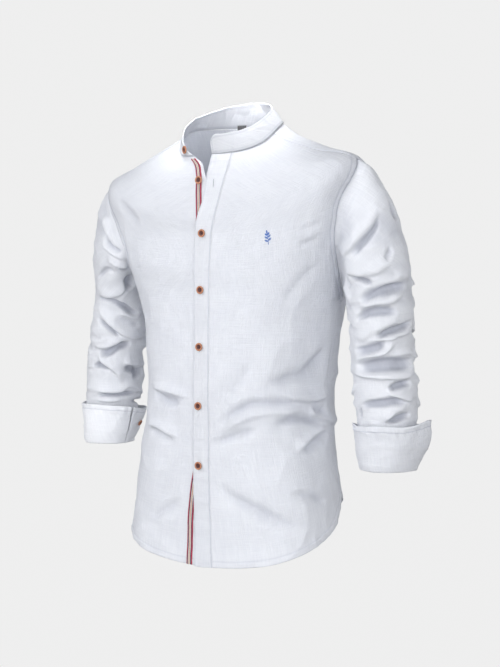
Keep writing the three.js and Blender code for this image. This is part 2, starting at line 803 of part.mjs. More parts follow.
// front buttons stand on the placket
for (let i = 0; i < FRONT_BUTTONS.length; i++) {
  const t = FRONT_BUTTONS.t[i],
    angle = angleAtX(FRONT_BUTTONS.x[i], t);
  const n = bodyNormal(angle, t);
  const mesh = piece(trimGroup, "button_" + (i + 3), buttonGeometry(BUTTON_RADIUS, BUTTON_HEIGHT, 16), wood());
  placeOn(mesh, body(angle, t).addScaledVector(n, GAP + 0.1 + BAND_WALL + GAP + 0.25), n);
}
{
  const angle = angleAtX(TAPE_BUTTON.x, TAPE_BUTTON.t);
  const n = bodyNormal(angle, TAPE_BUTTON.t);
  const mesh = piece(trimGroup, "button_2", buttonGeometry(BUTTON_RADIUS, BUTTON_HEIGHT, 16), wood());
  placeOn(mesh, body(angle, TAPE_BUTTON.t).addScaledVector(n, -RIGHT_FRONT_DROP + GAP + BAND_WALL + GAP + 0.35), n);
}
{
  const a = COLLAR_BUTTON.angle,
    u = COLLAR_BUTTON.up;
  const p = collarPoint(a, u);
  const n = collarPoint(a + 1, u)
    .sub(collarPoint(a - 1, u))
    .cross(collarPoint(a, u + 0.05).sub(collarPoint(a, u - 0.05)))
    .normalize();
  if (n.dot(V(p.x, p.y, 0)) < 0) n.negate();
  const mesh = piece(trimGroup, "button_1", buttonGeometry(BUTTON_RADIUS, BUTTON_HEIGHT, 16), wood());
  placeOn(mesh, p.clone().addScaledVector(n, COLLAR_WALL / 2 + GAP + 0.5), n);
}
for (const [side, cuff, name, psiOff, row] of [
  [1, CUFF_LEFT, "cuff_button_left", -16, 1.6],
  [-1, CUFF_RIGHT, "cuff_button_right", -28, 1.6],
]) {
  const k = Math.floor(row),
    f = row - k;
  const v = (key) => mix(cuff.rows[key][k], cuff.rows[key][k + 1], f);
  const psi = rad(cuff.slit + psiOff);
  const radial = V(side * Math.sin(psi), -Math.cos(psi), 0);
  const slope = (cuff.rows.radius[k + 1] - cuff.rows.radius[k]) / (cuff.rows.z[k] - cuff.rows.z[k + 1]);
  const n = radial.clone().add(V(0, 0, slope * 1)).normalize();
  const p = V(side * v("x"), v("y"), v("z")).addScaledVector(radial, v("radius"));
  const mesh = piece(trimGroup, name, buttonGeometry(CUFF_BUTTON_RADIUS, BUTTON_HEIGHT, 14), wood());
  placeOn(mesh, p.addScaledVector(n, CUFF_WALL / 2 + GAP + 0.7), n);
}
// label inside the back neck, hanging from the collar seam
{
  const rows = [];
  const half = (LABEL.width / 2 / 74) * (180 / Math.PI);
  for (const h of [0, 0.5, 1]) {
    const row = [];
    for (const w of [-1, 0, 1]) {
      const angle = LABEL.angle + w * half;
      const p = body(angle, 0),
        p2 = collarPoint(angle, 0.12);
      const inward = V(-p.x, -p.y - 3, 0).normalize();
      row.push({ p: p2.clone().addScaledVector(inward, 1.2).add(V(0, 0, -h * LABEL.height)), n: inward });
    }
    rows.push(row);
  }
  piece(trimGroup, "neck_label", wall(rows, GAP + 0.2, GAP + 0.2 + LABEL.wall), black());
}

export default shirt;
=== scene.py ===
# Looks of a long-sleeved band-collar shirt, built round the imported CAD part: +Z up, x to the wearer's left, -y to the front.
# Lengths in the tables are millimetres, as in the CAD part; a mesh gets metres when it is made.
import math

import bpy
import numpy as np
from mathutils import Matrix, Quaternion, Vector, noise


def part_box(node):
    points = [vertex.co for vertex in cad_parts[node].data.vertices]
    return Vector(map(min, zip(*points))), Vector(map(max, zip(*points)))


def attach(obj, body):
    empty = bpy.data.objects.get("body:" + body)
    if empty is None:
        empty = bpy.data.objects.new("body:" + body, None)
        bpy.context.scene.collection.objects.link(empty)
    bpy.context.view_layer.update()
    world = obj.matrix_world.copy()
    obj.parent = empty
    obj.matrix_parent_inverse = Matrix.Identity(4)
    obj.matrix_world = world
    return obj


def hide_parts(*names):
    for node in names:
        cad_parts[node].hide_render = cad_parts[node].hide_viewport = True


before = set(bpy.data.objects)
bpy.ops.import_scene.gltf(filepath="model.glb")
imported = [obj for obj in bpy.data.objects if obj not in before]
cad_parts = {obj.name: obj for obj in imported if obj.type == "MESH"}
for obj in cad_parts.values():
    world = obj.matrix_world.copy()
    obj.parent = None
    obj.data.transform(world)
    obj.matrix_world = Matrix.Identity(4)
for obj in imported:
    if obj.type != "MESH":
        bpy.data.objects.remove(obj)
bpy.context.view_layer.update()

# ---------------------------------------------------------------- the cut's tables, in millimetres
def table(columns, rows):
    arr = np.array(rows, float)
    return {name: arr[:, i] for i, name in enumerate(columns)}


RING_COLUMNS = ["t", "zFront", "zSide", "zBack", "half", "yFront", "ySide", "yBack", "square", "squareBack"]
RINGS = table(RING_COLUMNS, [
    [-700, -700, -700, -700, 191.0, -91.5, 18.5, 129.0, 0.04, 0.04],
    [-630, -630, -630, -630, 184.2, -91.6, 18.5, 128.6, 0.04, 0.04],
    [-590, -590, -590, -590, 177.9, -92.8, 16.6, 126.0, 0.04, 0.04],
    [-560, -560, -560, -560, 172.5, -93.6, 15.2, 124.0, 0.04, 0.04],
    [-520, -520, -520, -520, 164.5, -94.7, 18.5, 131.0, 0.04, 0.04],
    [-480, -480, -480, -480, 156.3, -95.1, 22.5, 141.0, 0.04, 0.04],
    [-440, -440, -440, -440, 150.0, -95.7, 26.0, 149.5, 0.04, 0.05],
    [-410, -410, -410, -410, 148.9, -95.3, 28.0, 153.0, 0.04, 0.05],
    [-380, -380, -380, -380, 151.2, -94.6, 30.5, 156.5, 0.04, 0.05],
    [-350, -350, -350, -350, 155.3, -93.9, 32.4, 159.5, 0.04, 0.045],
    [-300, -300, -300, -300, 162.6, -92.4, 35.3, 162.0, 0.04, 0.04],
    [-265, -265, -265, -265, 170.5, -91.3, 34.0, 160.5, 0.05, 0.04],
    [-200, -215, -192, -207, 189.0, -91.0, 27.0, 155.0, 0.065, 0.03],
    [-150, -174, -128, -155, 209.0, -89.0, 18.0, 145.0, 0.075, 0.0],
    [-100, -134, -60, -104, 223.0, -87.0, 8.0, 128.0, 0.07, -0.03],
    [-60, -100, -37, -59, 172.0, -84.5, 3.0, 108.0, 0.05, -0.03],
    [-30, -70, -14, -19, 122.0, -82.5, 0.0, 90.0, 0.03, -0.02],
    [0, -42, 4, 16, 85.0, -80.0, 0.0, 74.0, 0.0, 0.0],
])
NECK_SEAM = table(["angle", "z"], [[0, -42], [25, -41.5], [45, -36], [60, -26], [75, -11], [90, 3], [105, 11], [130, 15], [180, 16]])
ARMHOLE = {
    1: table(["t", "front", "back"], [[-97, 84, 84], [-108, 78.5, 93], [-119, 74.5, 101], [-131, 71, 107], [-144, 69.7, 110],
        [-158, 70.5, 111.5], [-173, 72, 111.5], [-188, 75.5, 110.5], [-203, 80, 109], [-218, 84.5, 107], [-233, 89, 104.5],
        [-248, 94, 101.5], [-262, 98, 98]]),
    -1: table(["t", "front", "back"], [[-97, 84, 84], [-108, 74, 93], [-119, 65, 101], [-131, 57, 107], [-144, 52, 110],
        [-158, 50, 111.5], [-173, 49, 111.5], [-188, 50, 110.5], [-203, 56, 109], [-218, 66, 107], [-233, 78, 104.5],
        [-248, 89, 101.5], [-262, 98, 98]]),
}
SHOULDER_SEAM = table(["t", "angle"], [[-97, 84], [-90, 81.5], [-69, 78.2], [-46, 77], [-25, 77.5], [0, 79]])
SIDE_SEAM = table(["t", "angle"], [[-700, 107], [-584, 106], [-420, 101], [-262, 98]])
HEM = table(["angle", "z"], [[0, -684], [15, -680], [34, -671], [49, -658.5], [61, -648], [77, -632], [92, -612], [101, -594],
    [106, -585], [112, -584], [120, -590], [130, -599], [140, -612], [150, -628], [160, -645], [170, -657], [180, -661]])
LEFT_EDGE = table(["t", "x"], [[-700, -11.8], [-551, -11.9], [-345, -11.2], [-250, -12], [-141, -12.3], [-111, -10.2], [-74, -0.4], [-38.8, 5.5], [0, 13.4]])
PLACKET_LINE = table(["t", "x"], [[-700, 21.8], [-592, 18.7], [-483, 18.4], [-350, 16.8], [-267, 16], [-171, 18], [-138, 19],
    [-108, 23.6], [-43, 38.9], [-26, 44.3], [0, 47.3]])
RIGHT_EDGE = table(["t", "x"], [[-700, -6], [-600, -6], [-551, 9], [-345, 14], [-141, 13], [-110, 12], [-60, 8], [-39, 3],
    [-28, -1.1], [-14, -6.5], [0, -23.4]])
TAPE_LINE = table(["t", "x"], [[-700, -24], [-600, -19.3], [-565, -14], [-520, -6], [-345, -5], [-141, -5], [-110, -5.4],
    [-60, -8.2], [-30, -9.7], [-14, -14.8], [-5, -23]])
COLLAR_TOP = table(["angle", "z"], [[0, -12], [30, -11], [50, -5], [68, 5], [85, 18], [105, 31], [123, 40], [150, 51], [180, 56]])
SLEEVE = {
    1: table(["z", "x", "y", "halfX", "halfY"], [[-503, 262, 30, 41, 41], [-470, 261, 30, 45, 46], [-420, 259, 30, 49, 49],
        [-340, 253, 31, 50, 51], [-290, 250, 30, 53, 53]]),
    -1: table(["z", "x", "y", "halfX", "halfY"], [[-493, 267, 31, 41, 41], [-460, 266, 31, 45, 46], [-420, 264, 31, 49, 49],
        [-340, 254, 31, 50, 51], [-290, 245, 30, 51, 53]]),
}
CUFF = {
    1: {"slit": 150, "open": 13, "rows": table(["z", "x", "y", "radius"], [[-455, 269, 30, 60], [-478, 267.2, 30, 55],
        [-502, 264.8, 30, 49.4], [-520, 263.2, 30, 45], [-525, 262.8, 30, 42.5], [-519, 262.6, 30, 40.8], [-506, 262.2, 30, 40.8]])},
    -1: {"slit": -72, "open": 4.5, "rows": table(["z", "x", "y", "radius"], [[-447, 261, 30, 55], [-469, 263.6, 30, 52],
        [-491, 266.2, 30, 49],[-509, 269.5, 30, 44.5], [-515, 270.4, 30, 41.6], [-509, 268.8, 30, 39.7], [-496, 267.2, 30, 40.8]])},
}
FRONT_BUTTONS = [(-138, 1.4), (-249.6, 0), (-340.2, 0), (-431.7, -0.7), (-524.5, -0.6)]


# ---------------------------------------------------------------- small tools
def smooth(w):
    c = np.clip(w, 0, 1)
    return c * c * (3 - 2 * c)


def mix(a, b, w):
    return a + (b - a) * w


def unit(v):
    return v / np.maximum(np.linalg.norm(v, axis=-1, keepdims=True), 1e-9)


def curve(tab, key, name, at):
    """Smooth curve through a table's rows, by its first column."""
    ts, vs = tab[key], tab[name]
    if ts[0] > ts[-1]:
        ts, vs = ts[::-1], vs[::-1]
    h = np.diff(ts)
    slope = np.diff(vs) / h
    m = np.empty_like(vs)
    m[0], m[-1] = slope[0], slope[-1]
    m[1:-1] = (slope[:-1] * h[1:] + slope[1:] * h[:-1]) / (h[:-1] + h[1:])
    at = np.asarray(at, float)
    i = np.clip(np.searchsorted(ts, at, side="right") - 1, 0, len(ts) - 2)
    s = (at - ts[i]) / h[i]
    s2, s3 = s * s, s * s * s
    return (2 * s3 - 3 * s2 + 1) * vs[i] + (s3 - 2 * s2 + s) * h[i] * m[i] + (3 * s2 - 2 * s3) * vs[i + 1] + (s3 - s2) * h[i] * m[i + 1]


def signed(deg):
    return (np.asarray(deg, float) + 180) % 360 - 180


# ---------------------------------------------------------------- the body's surface, by angle from centre front and ring t
def body(angle, t):
    angle, t = np.broadcast_arrays(np.asarray(angle, float), np.asarray(t, float))
    r = {name: curve(RINGS, "t", name, t) for name in RING_COLUMNS[1:]}
    p = np.radians(angle)
    k = np.where(np.cos(p) > 0, r["square"], r["squareBack"])
    c = (np.cos(p) - k * np.cos(3 * p)) / (1 - k)
    s = (np.sin(p) + k * np.sin(3 * p)) / (1 - k)
    x = r["half"] * s
    y = np.where(c > 0, mix(r["ySide"], r["yFront"], c), mix(r["ySide"], r["yBack"], -c))
    c2 = np.cos(p) ** 2
    z = mix(r["zSide"], np.where(c > 0, r["zFront"], r["zBack"]), c2)
    w = smooth((t + 90) / 90)
    z = z + w * (curve(NECK_SEAM, "angle", "z", np.abs(signed(angle))) - mix(4, np.where(c > 0, -42, 16), c2))
    bulge = w * 8 * np.exp(-(((signed(angle) - 52) / 28) ** 2))
    return np.stack([x + bulge * np.sin(p), y - bulge * np.cos(p), z], -1)


def body_normal(angle, t):
    a = body(np.asarray(angle) + 0.5, t) - body(np.asarray(angle) - 0.5, t)
    b = body(angle, np.asarray(t) + 2) - body(angle, np.asarray(t) - 2)
    return unit(np.cross(a, b))


def angle_at_x(x, t):
    x, t = np.broadcast_arrays(np.asarray(x, float), np.asarray(t, float))
    a = np.zeros_like(t)
    for _ in range(14):
        d = body(a + 0.5, t)[..., 0] - body(a - 0.5, t)[..., 0]
        a = a - np.clip((body(a, t)[..., 0] - x) / d, -12, 12)
    return a


def hem_shift(t, angle):
    hem = curve(HEM, "angle", "z", np.abs(signed(angle)))
    return np.where(t >= -500, t, mix(-500, hem, (t + 500) / -200))


# ---------------------------------------------------------------- armholes and sleeves
def armhole(side, k):
    """Ring t and angle of the armhole at k steps of 15 degrees from the shoulder point down the front and up the back."""
    k = np.asarray(k, float) % 24
    tab = ARMHOLE[side]
    steps = {"k": np.arange(13.0), "t": tab["t"], "front": tab["front"], "back": tab["back"]}
    row = np.where(k <= 12, k, 24 - k)
    t = curve(steps, "k", "t", row)
    ang = np.where(k <= 12, curve(steps, "k", "front", row), curve(steps, "k", "back", row))
    return t, side * ang


def tube_point(side, psi, z):
    tab = SLEEVE[side]
    psi, z = np.broadcast_arrays(np.asarray(psi, float), np.asarray(z, float))
    p = np.radians(psi)
    return np.stack([side * (curve(tab, "z", "x", z) + curve(tab, "z", "halfX", z) * np.sin(p)),
                     curve(tab, "z", "y", z) - curve(tab, "z", "halfY", z) * np.cos(p), z], -1)


def sleeve_surface(side, psi, v):
    """Sleeve at angle psi (0 front, 90 outside, 180 back, 270 inside); v 0 to 1 is the cap, 1 to 2 the tube."""
    psi, v = np.broadcast_arrays(np.asarray(psi, float), np.asarray(v, float))
    k = ((90 - psi) / 15) % 24
    t, ang = armhole(side, k)
    p = body(ang, t)
    n = body_normal(ang, t)
    t2, a2 = armhole(side, k + 0.35)
    t1, a1 = armhole(side, k - 0.35)
    along = body(a2, t2) - body(a1, t1)
    across = unit(np.cross(along, n))
    middle = body(side * 91.0, -165.0) - p
    flip = np.sum(across * middle, -1, keepdims=True) < 0
    across = np.where(flip, -across, across)
    up = ((np.sin(np.radians(psi)) + 1) / 2)[..., None]
    a = p + across * (0.15 + 0.45 * (1 - up))
    end = tube_point(side, psi, -290.0)
    down = unit(tube_point(side, psi, -295.0) - end)
    upf = up[..., 0]
    out = unit(unit(np.stack([side * (0.45 + 0.5 * upf), -0.42 * np.cos(np.radians(psi)), -0.85 + 0.35 * upf], -1) + n * 0.75 * (1 - up)))
    length = np.linalg.norm(a - end, axis=-1, keepdims=True)
    w = np.clip(v, 0, 1)[..., None]
    w2, w3 = w * w, w ** 3
    cap = a * (2 * w3 - 3 * w2 + 1) + out * (w3 - 2 * w2 + w) * length * (0.55 + 0.35 * up) * mix(1, 1.22 if side > 0 else 0.86, up) + end * (3 * w2 - 2 * w3) + down * (w3 - w2) * length * 0.9
    bottom = SLEEVE[side]["z"][0]
    tube = tube_point(side, psi, mix(-290.0, bottom, np.clip(v - 1, 0, 1)))
    return np.where((v <= 1)[..., None], cap, tube)


def collar_point(angle, up):
    angle, up = np.broadcast_arrays(np.asarray(angle, float), np.asarray(up, float))
    base = body(angle, np.zeros_like(angle)) + np.array([0, 0, 0.65])
    p = np.radians(angle)
    top = np.stack([70 * np.sin(p), -12 - 72 * np.cos(p), curve(COLLAR_TOP, "angle", "z", np.abs(signed(angle)))], -1)
    return mix(base, top, up[..., None])


# ---------------------------------------------------------------- folds: how far a crest stands out (or a trough lies in), half width, line
NEAR = [
    (5, 9, [[268, -21, -128], [261, -30, -151], [247, -35, -168], [225, -31, -186], [201, -11, -201]]),
    (-6, 10, [[267, -24, -138], [264, -28, -154], [255, -33, -168], [239, -33, -186], [226, -29, -202]]),
    (-7, 5.5, [[217, -18, -228], [244, -28, -236], [264, -25, -244]]),
    (5, 10, [[203, -6, -219], [239, -28, -225], [266, -26, -222], [280, -19, -215], [290, -9, -205]]),
    (3.5, 5, [[289, -9, -231], [298, 4, -229], [302, 24, -233]]),
    (4, 4.5, [[236, -23, -268], [264, -24, -249], [285, -13, -238], [302, 22, -237]]),
    (-4, 6, [[276, 5, -116], [284, 8, -134], [288, 8, -147]]),
    (-3, 6, [[280, -19, -208], [284, -16, -198], [287, -12, -188]]),
    (-4, 5, [[208, -8, -233], [220, -17, -248]]),
    (4, 7, [[201, 2, -241], [209, -6, -253], [219, -14, -268]]),
    (-13, 9.5, [[236, -23, -270], [259, -25, -256], [286, -11, -249], [302, 18, -242]]),
    (5, 8, [[235, -22, -279], [259, -24, -269], [286, -10, -266], [300, 10, -252]]),
    (-10, 8, [[230, -18, -299], [243, -23, -289], [264, -21, -283], [286, -10, -283], [294, 0, -286]]),
    (4, 10, [[222, -11, -321], [242, -20, -320], [267, -19, -307], [285, -9, -297], [297, 6, -291]]),
    (-10, 6.5, [[261, -20, -323], [282, -11, -313], [297, 6, -307], [303, 30, -299]]),
    (4, 5, [[248, -20, -329], [270, -17, -323], [285, -8, -323], [292, -1, -318], [303, 28, -313]]),
    (-9, 7.5, [[224, -10, -342], [242, -19, -342], [263, -19, -337], [279, -13, -329]]),
    (5, 6, [[222, -8, -361], [246, -19, -350], [272, -16, -345], [285, -8, -334], [288, -5, -329]]),
    (4, 5, [[287, -7, -348], [299, 10, -345], [303, 30, -345]]),
    (-14, 12, [[229, -12, -368], [257, -19, -364], [285, -9, -361], [301, 14, -361], [304, 32, -356]]),
    (6, 8, [[221, -5, -374], [242, -17, -377], [276, -15, -379], [302, 12, -377], [304, 36, -361]]),
    (-10, 7, [[281, -13, -399], [295, -2, -393], [306, 20, -390]]),
    (6, 6, [[278, -15, -404], [292, -6, -406], [301, 5, -411], [307, 20, -417]]),
    (-10, 7.5, [[234, -12, -428], [250, -18, -423], [273, -17, -420], [293, -6, -417], [305, 13, -420]]),
    (5, 8, [[272, -16, -449], [291, -7, -431], [303, 9, -425]]),
    (-9, 6.5, [[277, -14, -449], [293, -5, -444], [306, 17, -437]]),
    (-5, 6, [[233, -11, -428], [233, -9, -447]]),
]
FAR = [
    (5, 8, [[-221, -54, -127], [-206, -63, -149], [-187, -67, -171], [-173, -66, -185]]),
    (4, 6, [[-220, -59, -162], [-211, -62, -177], [-192, -65, -189], [-175, -63, -198], [-170, -51, -203]]),
    (-5, 6, [[-211, -63, -169], [-191, -66, -181], [-172, -65, -191]]),
    (5, 7, [[-209, -59, -199], [-191, -61, -206], [-177, -51, -210], [-173, -39, -210]]),
    (-6, 6, [[-186, -57, -214], [-176, -31, -217]]),
    (-3, 6, [[-249, -35, -231], [-217, -51, -218], [-192, -52, -222]]),
    (-7, 11, [[-183, -27, -227], [-194, -13, -253]]),
    (4, 8, [[-250, -29, -255], [-222, -32, -258], [-202, -28, -252], [-192, -33, -237]]),
    (-9, 6, [[-257, -24, -267], [-237, -29, -266], [-221, -24, -271], [-208, -12, -279], [-198, 8, -289], [-195, 19, -287]]),
    (6, 8, [[-260, -21, -277], [-246, -23, -289], [-227, -17, -309], [-214, -5, -322], [-206, 12, -330], [-203, 36, -332]]),
    (-8, 5.5, [[-257, -21, -299], [-245, -22, -307], [-232, -18, -317], [-217, -6, -332]]),
    (4, 6, [[-221, -17, -289], [-207, -5, -292], [-199, 9, -296], [-195, 22, -293]]),
    (-3.5, 8, [[-225, -17, -299], [-209, -2, -307], [-199, 25, -312]]),
    (4, 6, [[-268, -18, -345], [-249, -19, -347], [-230, -14, -343], [-217, -4, -335]]),
    (-11, 8, [[-256, -20, -353], [-241, -17, -358], [-223, -8, -347], [-209, 11, -343]]),
    (6, 8, [[-259, -19, -358], [-246, -18, -370], [-231, -10, -383], [-224, -3, -393], [-224, 2, -412]]),
    (4, 6, [[-219, 1, -373], [-211, 19, -376], [-210, 37, -376]]),
    (-8, 6, [[-272, -18, -383], [-257, -19, -378], [-244, -17, -381], [-234, -12, -384]]),
    (-8, 9, [[-220, 2, -386], [-212, 20, -386], [-213, 41, -399]]),
    (5, 6, [[-268, -18, -422], [-246, -14, -422], [-225, 1, -422], [-217, 14, -414], [-217, 43, -422]]),
    (-8, 5, [[-266, -17, -434], [-248, -15, -429], [-229, -1, -429], [-217, 21, -429], [-217, 40, -428]]),
    (4, 5, [[-268, -17, -437], [-244, -12, -439], [-225, 6, -437]]),
]
BODY = [
    (-4, 8, [[-173, -73, -105], [-150, -79, -121], [-120, -84, -149]]),
    (5, 8, [[-107, -71, -403], [-71, -87, -409], [-38, -93, -416], [-22, -95, -421]]),
    (-6, 7, [[-100, -76, -415], [-73, -87, -424], [-38, -94, -430]]),
    (4, 8, [[-119, -67, -469], [-90, -83, -466], [-59, -91, -478], [-38, -93, -486]]),
    (-4, 8, [[-110, -74, -478], [-82, -85, -479], [-55, -91, -490]]),
    (-1.6, 6, [[191, -51, -150], [179, -63, -157], [162, -73, -164]]),
    (-1.8, 6, [[186, -44, -171], [175, -57, -179], [157, -70, -186]]),
    (-2.2, 10, [[178, -26, -210], [165, -45, -225], [144, -59, -252], [132, -62, -277]]),
    (-6, 15, [[102, -75, -400], [127, -54, -390], [145, -19, -379], [153, 11, -358], [157, 33, -337]]),
    (6, 9, [[111, -69, -402], [132, -45, -414], [145, -10, -419], [149, 26, -417], [147, 56, -412]]),
    (-7, 8, [[28, -94, -463], [54, -92, -443], [84, -84, -426], [114, -67, -424], [138, -35, -424], [146, -11, -428]]),
    (4, 11, [[28, -94, -472], [77, -86, -445], [114, -68, -436], [138, -36, -436], [145, -16, -433]]),
    (-4, 7, [[21, -95, -490], [46, -92, -480], [75, -87, -469], [99, -78, -464]]),
    (-7, 6.5, [[117, -67, -460], [128, -55, -451], [141, -32, -448], [150, 0, -454], [153, 34, -463]]),
    (5, 6, [[146, -12, -439], [150, 13, -448], [151, 41, -456]]),
    (-6, 8, [[148, -1, -436], [150, 26, -442], [149, 42, -433]]),
    (6, 8, [[153, 33, -463], [153, -5, -472], [148, -31, -486], [144, -46, -501]]),
    (-6, 8, [[155, 39, -475], [156, -1, -487], [150, -35, -501]]),
    (-4, 11, [[21, -94, -542], [58, -90, -570], [108, -80, -592], [143, -64, -609], [164, -44, -617]]),
    (-3.5, 8, [[142, -61, -560], [162, -37, -566], [175, 1, -577]]),
    (-3, 12, [[40, -93, -418], [69, -87, -389], [87, -82, -358]]),
    (-3, 9, [[-28, -92, -576], [-48, -91, -586], [-86, -85, -608], [-127, -73, -643]]),
]
# Folds of the sides that the view doesn't show, by angle and ring t on the body.
BODY_HIDDEN = [
    (-5, 16, [[150, -300], [158, -360], [170, -410]]),
    (6, 12, [[128, -395], [150, -418], [176, -428], [205, -420]]),
    (-5, 11, [[130, -425], [152, -444], [178, -450]]),
    (5, 11, [[182, -402], [205, -392], [228, -398]]),
    (-6, 9, [[184, -410], [206, -401], [226, -406]]),
    (-6, 9, [[130, -404], [150, -427], [176, -438], [203, -430]]),
    (-4, 12, [[190, -425], [212, -418], [232, -424]]),
    (5, 12, [[140, -470], [162, -482], [190, -478], [214, -468]]),
    (-3, 14, [[150, -520], [170, -560], [178, -610]]),
    (-3, 14, [[205, -500], [196, -560], [200, -620]]),
    (4, 14, [[128, -190], [142, -235], [150, -290]]),
    (4, 14, [[232, -185], [218, -235], [212, -285]]),
    (-3, 15, [[160, -120], [180, -135], [200, -120]]),
    (-4, 12, [[118, -300], [124, -350], [134, -395]]),
    (-4, 12, [[240, -290], [236, -350], [226, -395]]),
    (4, 10, [[-118, -400], [-96, -408], [-76, -398]]),
    (-4, 9, [[-116, -418], [-96, -424], [-78, -416]]),
    (4, 12, [[-112, -470], [-94, -455], [-80, -460]]),
    (-3, 12, [[-100, -520], [-88, -560], [-84, -600]]),
    (2, 10, [[98, -390], [112, -384], [124, -392]]),
    (4, 10, [[92, -452], [108, -462], [126, -456]]),
]


def smooth_line(points, step=5.0):
    """A smooth line through the points, with a point about every step."""
    p = np.array(points, float)
    if len(p) == 2:
        n = max(2, int(np.linalg.norm(p[1] - p[0]) / step) + 1)
        return p[0] + (p[1] - p[0]) * np.linspace(0, 1, n)[:, None]
    ext = np.vstack([2 * p[0] - p[1], p, 2 * p[-1] - p[-2]])
    out = []
    for i in range(1, len(ext) - 2):
        a, b, c, d = ext[i - 1 : i + 3]
        n = max(2, int(np.linalg.norm(c - b) / step) + 1)
        s = np.linspace(0, 1, n, endpoint=False)[:, None]
        out.append(0.5 * (2 * b + (c - a) * s + (2 * a - 5 * b + 4 * c - d) * s**2 + (3 * b - a - 3 * c + d) * s**3))
    return np.vstack([*out, p[-1:]])


def nearest(Q, line):
    """Distance from each point to a line, how far along it in mm, and the line's nearest point and direction."""
    a, ab = line[:-1], np.diff(line, axis=0)
    length = np.linalg.norm(ab, axis=1)
    start = np.concatenate([[0], np.cumsum(length)[:-1]])
    best = np.full(len(Q), 1e9)
    along, near, way = np.zeros(len(Q)), np.zeros_like(Q), np.zeros_like(Q)
    for i in range(len(a)):
        s = np.clip((Q - a[i]) @ ab[i] / max(length[i] ** 2, 1e-9), 0, 1)
        p = a[i] + s[:, None] * ab[i]
        d = np.linalg.norm(Q - p, axis=1)
        m = d < best
        best[m], along[m], near[m], way[m] = d[m], start[i] + s[m] * length[i], p[m], ab[i] / max(length[i], 1e-9)
    return best, along, near, way, float(length.sum())


def fold_shift(P, N, folds, droop=0.35, gain=1.0, soft=False):
    """Moves that stand the folds out of the plain surface: a rounded crest, steep and hollow beneath it."""
    D = np.zeros_like(P)
    for k, (amp, width, points) in enumerate(folds):
        amp = amp * gain
        line = smooth_line(points)
        reach = 3.4 * width
        sel = np.nonzero(np.all((P > line.min(0) - reach) & (P < line.max(0) + reach), axis=1))[0]
        if not len(sel):
            continue
        d, along, near, way, total = nearest(P[sel], line)
        across = unit(np.cross(N[sel], way))
        if across[:, 2].mean() > 0:
            across = -across
        below = np.sum((P[sel] - near) * across, -1)
        beyond = np.sqrt(np.maximum(d * d - below * below, 0))
        s = along / max(total, 1e-6)
        taper = smooth(s / 0.30 + 0.10) * smooth((1 - s) / 0.30 + 0.10)
        taper = taper * np.exp(-((beyond / width) ** 2))
        if amp > 0:
            taper = taper * (1 + 0.22 * np.sin(along / 17.0 + k * 1.7))
            u = below / width
            crest = np.where(u < 0, np.exp(-(np.abs(u) / 0.95) ** 1.7), np.exp(-((u / 0.62) ** 2)))
            move = N[sel] * (amp * crest * taper)[:, None]
            move += across * (droop * amp * crest * taper)[:, None]
        else:
            # a pocket under a crest: steep above, sloping out below, narrow at its ends
            u = below / (width * (0.45 + 0.6 * np.sin(math.pi * np.clip(s, 0.02, 0.98)) ** 0.7))
            if soft:
                u = below / (width * (0.6 + 0.4 * np.sin(math.pi * np.clip(s, 0.02, 0.98)) ** 0.7))
                g = np.where(u < 0, np.exp(-(np.abs(u) / 0.72) ** 1.8), np.exp(-(np.abs(u) / 1.2) ** 1.8))
            else:
                g = np.where(u < 0, 1 - smooth((-u - 0.30) / 0.62), 1 - smooth((u - 0.30) / 1.0))
            move = N[sel] * (amp * g * taper)[:, None]
        D[sel] += move
    return D


def noise3(P, scale, seed, octaves=2, squeeze=(1, 1, 1)):
    q = P / scale * np.array(squeeze)
    out = np.empty(len(q))
    fn = noise.noise
    for i, (x, y, z) in enumerate(q.tolist()):
        v = fn((x + seed, y - seed, z + 2 * seed))
        if octaves > 1:
            v += 0.5 * fn((2.1 * x - seed, 2.1 * y + seed, 2.1 * z))
        out[i] = v
    return out


def creases(P, scale, seed, squeeze=(1, 1, 1)):
    """Soft creases: ridges where a noise changes sign."""
    v = np.abs(noise3(P, scale, seed, 1, squeeze))
    return np.exp(-v * 7.0)


# how rumpled the cloth is: soft waves and creases
def rumple(P, strength, squeeze, seed):
    broad = noise3(P, 62.0, seed, 2, squeeze) * 2.6
    fine = noise3(P, 19.0, seed + 3.1, 2, squeeze) * 0.75
    lines = (creases(P, 46.0, seed + 7.7, squeeze) - 0.35) * 1.7
    small = (creases(P, 21.0, seed + 12.9, squeeze) - 0.35) * 0.55
    return (broad + fine + lines + small) * strength


def body_folds():
    out = list(BODY)
    for amp, width, points in BODY_HIDDEN:
        q = np.array(points, float)
        out.append((amp, width, body(q[:, 0], q[:, 1]).tolist()))
    return out


def sleeve_folds(side):
    shown = NEAR if side > 0 else FAR
    out = list(shown)
    # like folds at the back and inside, shifted and uneven
    axis_y = 30.0
    for k, (amp, width, points) in enumerate(shown):
        q = np.array(points, float)
        cx = np.interp(q[:, 2], SLEEVE[side]["z"], side * SLEEVE[side]["x"])
        back = q.copy()
        back[:, 1] = 2 * axis_y - q[:, 1]
        back[:, 2] -= 9 + 7 * math.sin(k * 2.3)
        out.append((amp * (0.8 + 0.25 * math.sin(k * 1.9)), width * 1.1, back.tolist()))
        if k % 2 == 0:
            inside = q.copy()
            inside[:, 0] = 2 * cx - q[:, 0]
            inside[:, 1] = axis_y + (q[:, 1] - axis_y) * 0.8
            inside[:, 2] += 8 + 5 * math.sin(k * 3.1)
            keep = inside[:, 2] < -262
            if keep.all():
                out.append((amp * 0.55, width, inside.tolist()))
    return out


FOLDS = {"body": body_folds(), 1: sleeve_folds(1), -1: sleeve_folds(-1)}


def flatten(P):
    return P.reshape(-1, 3)


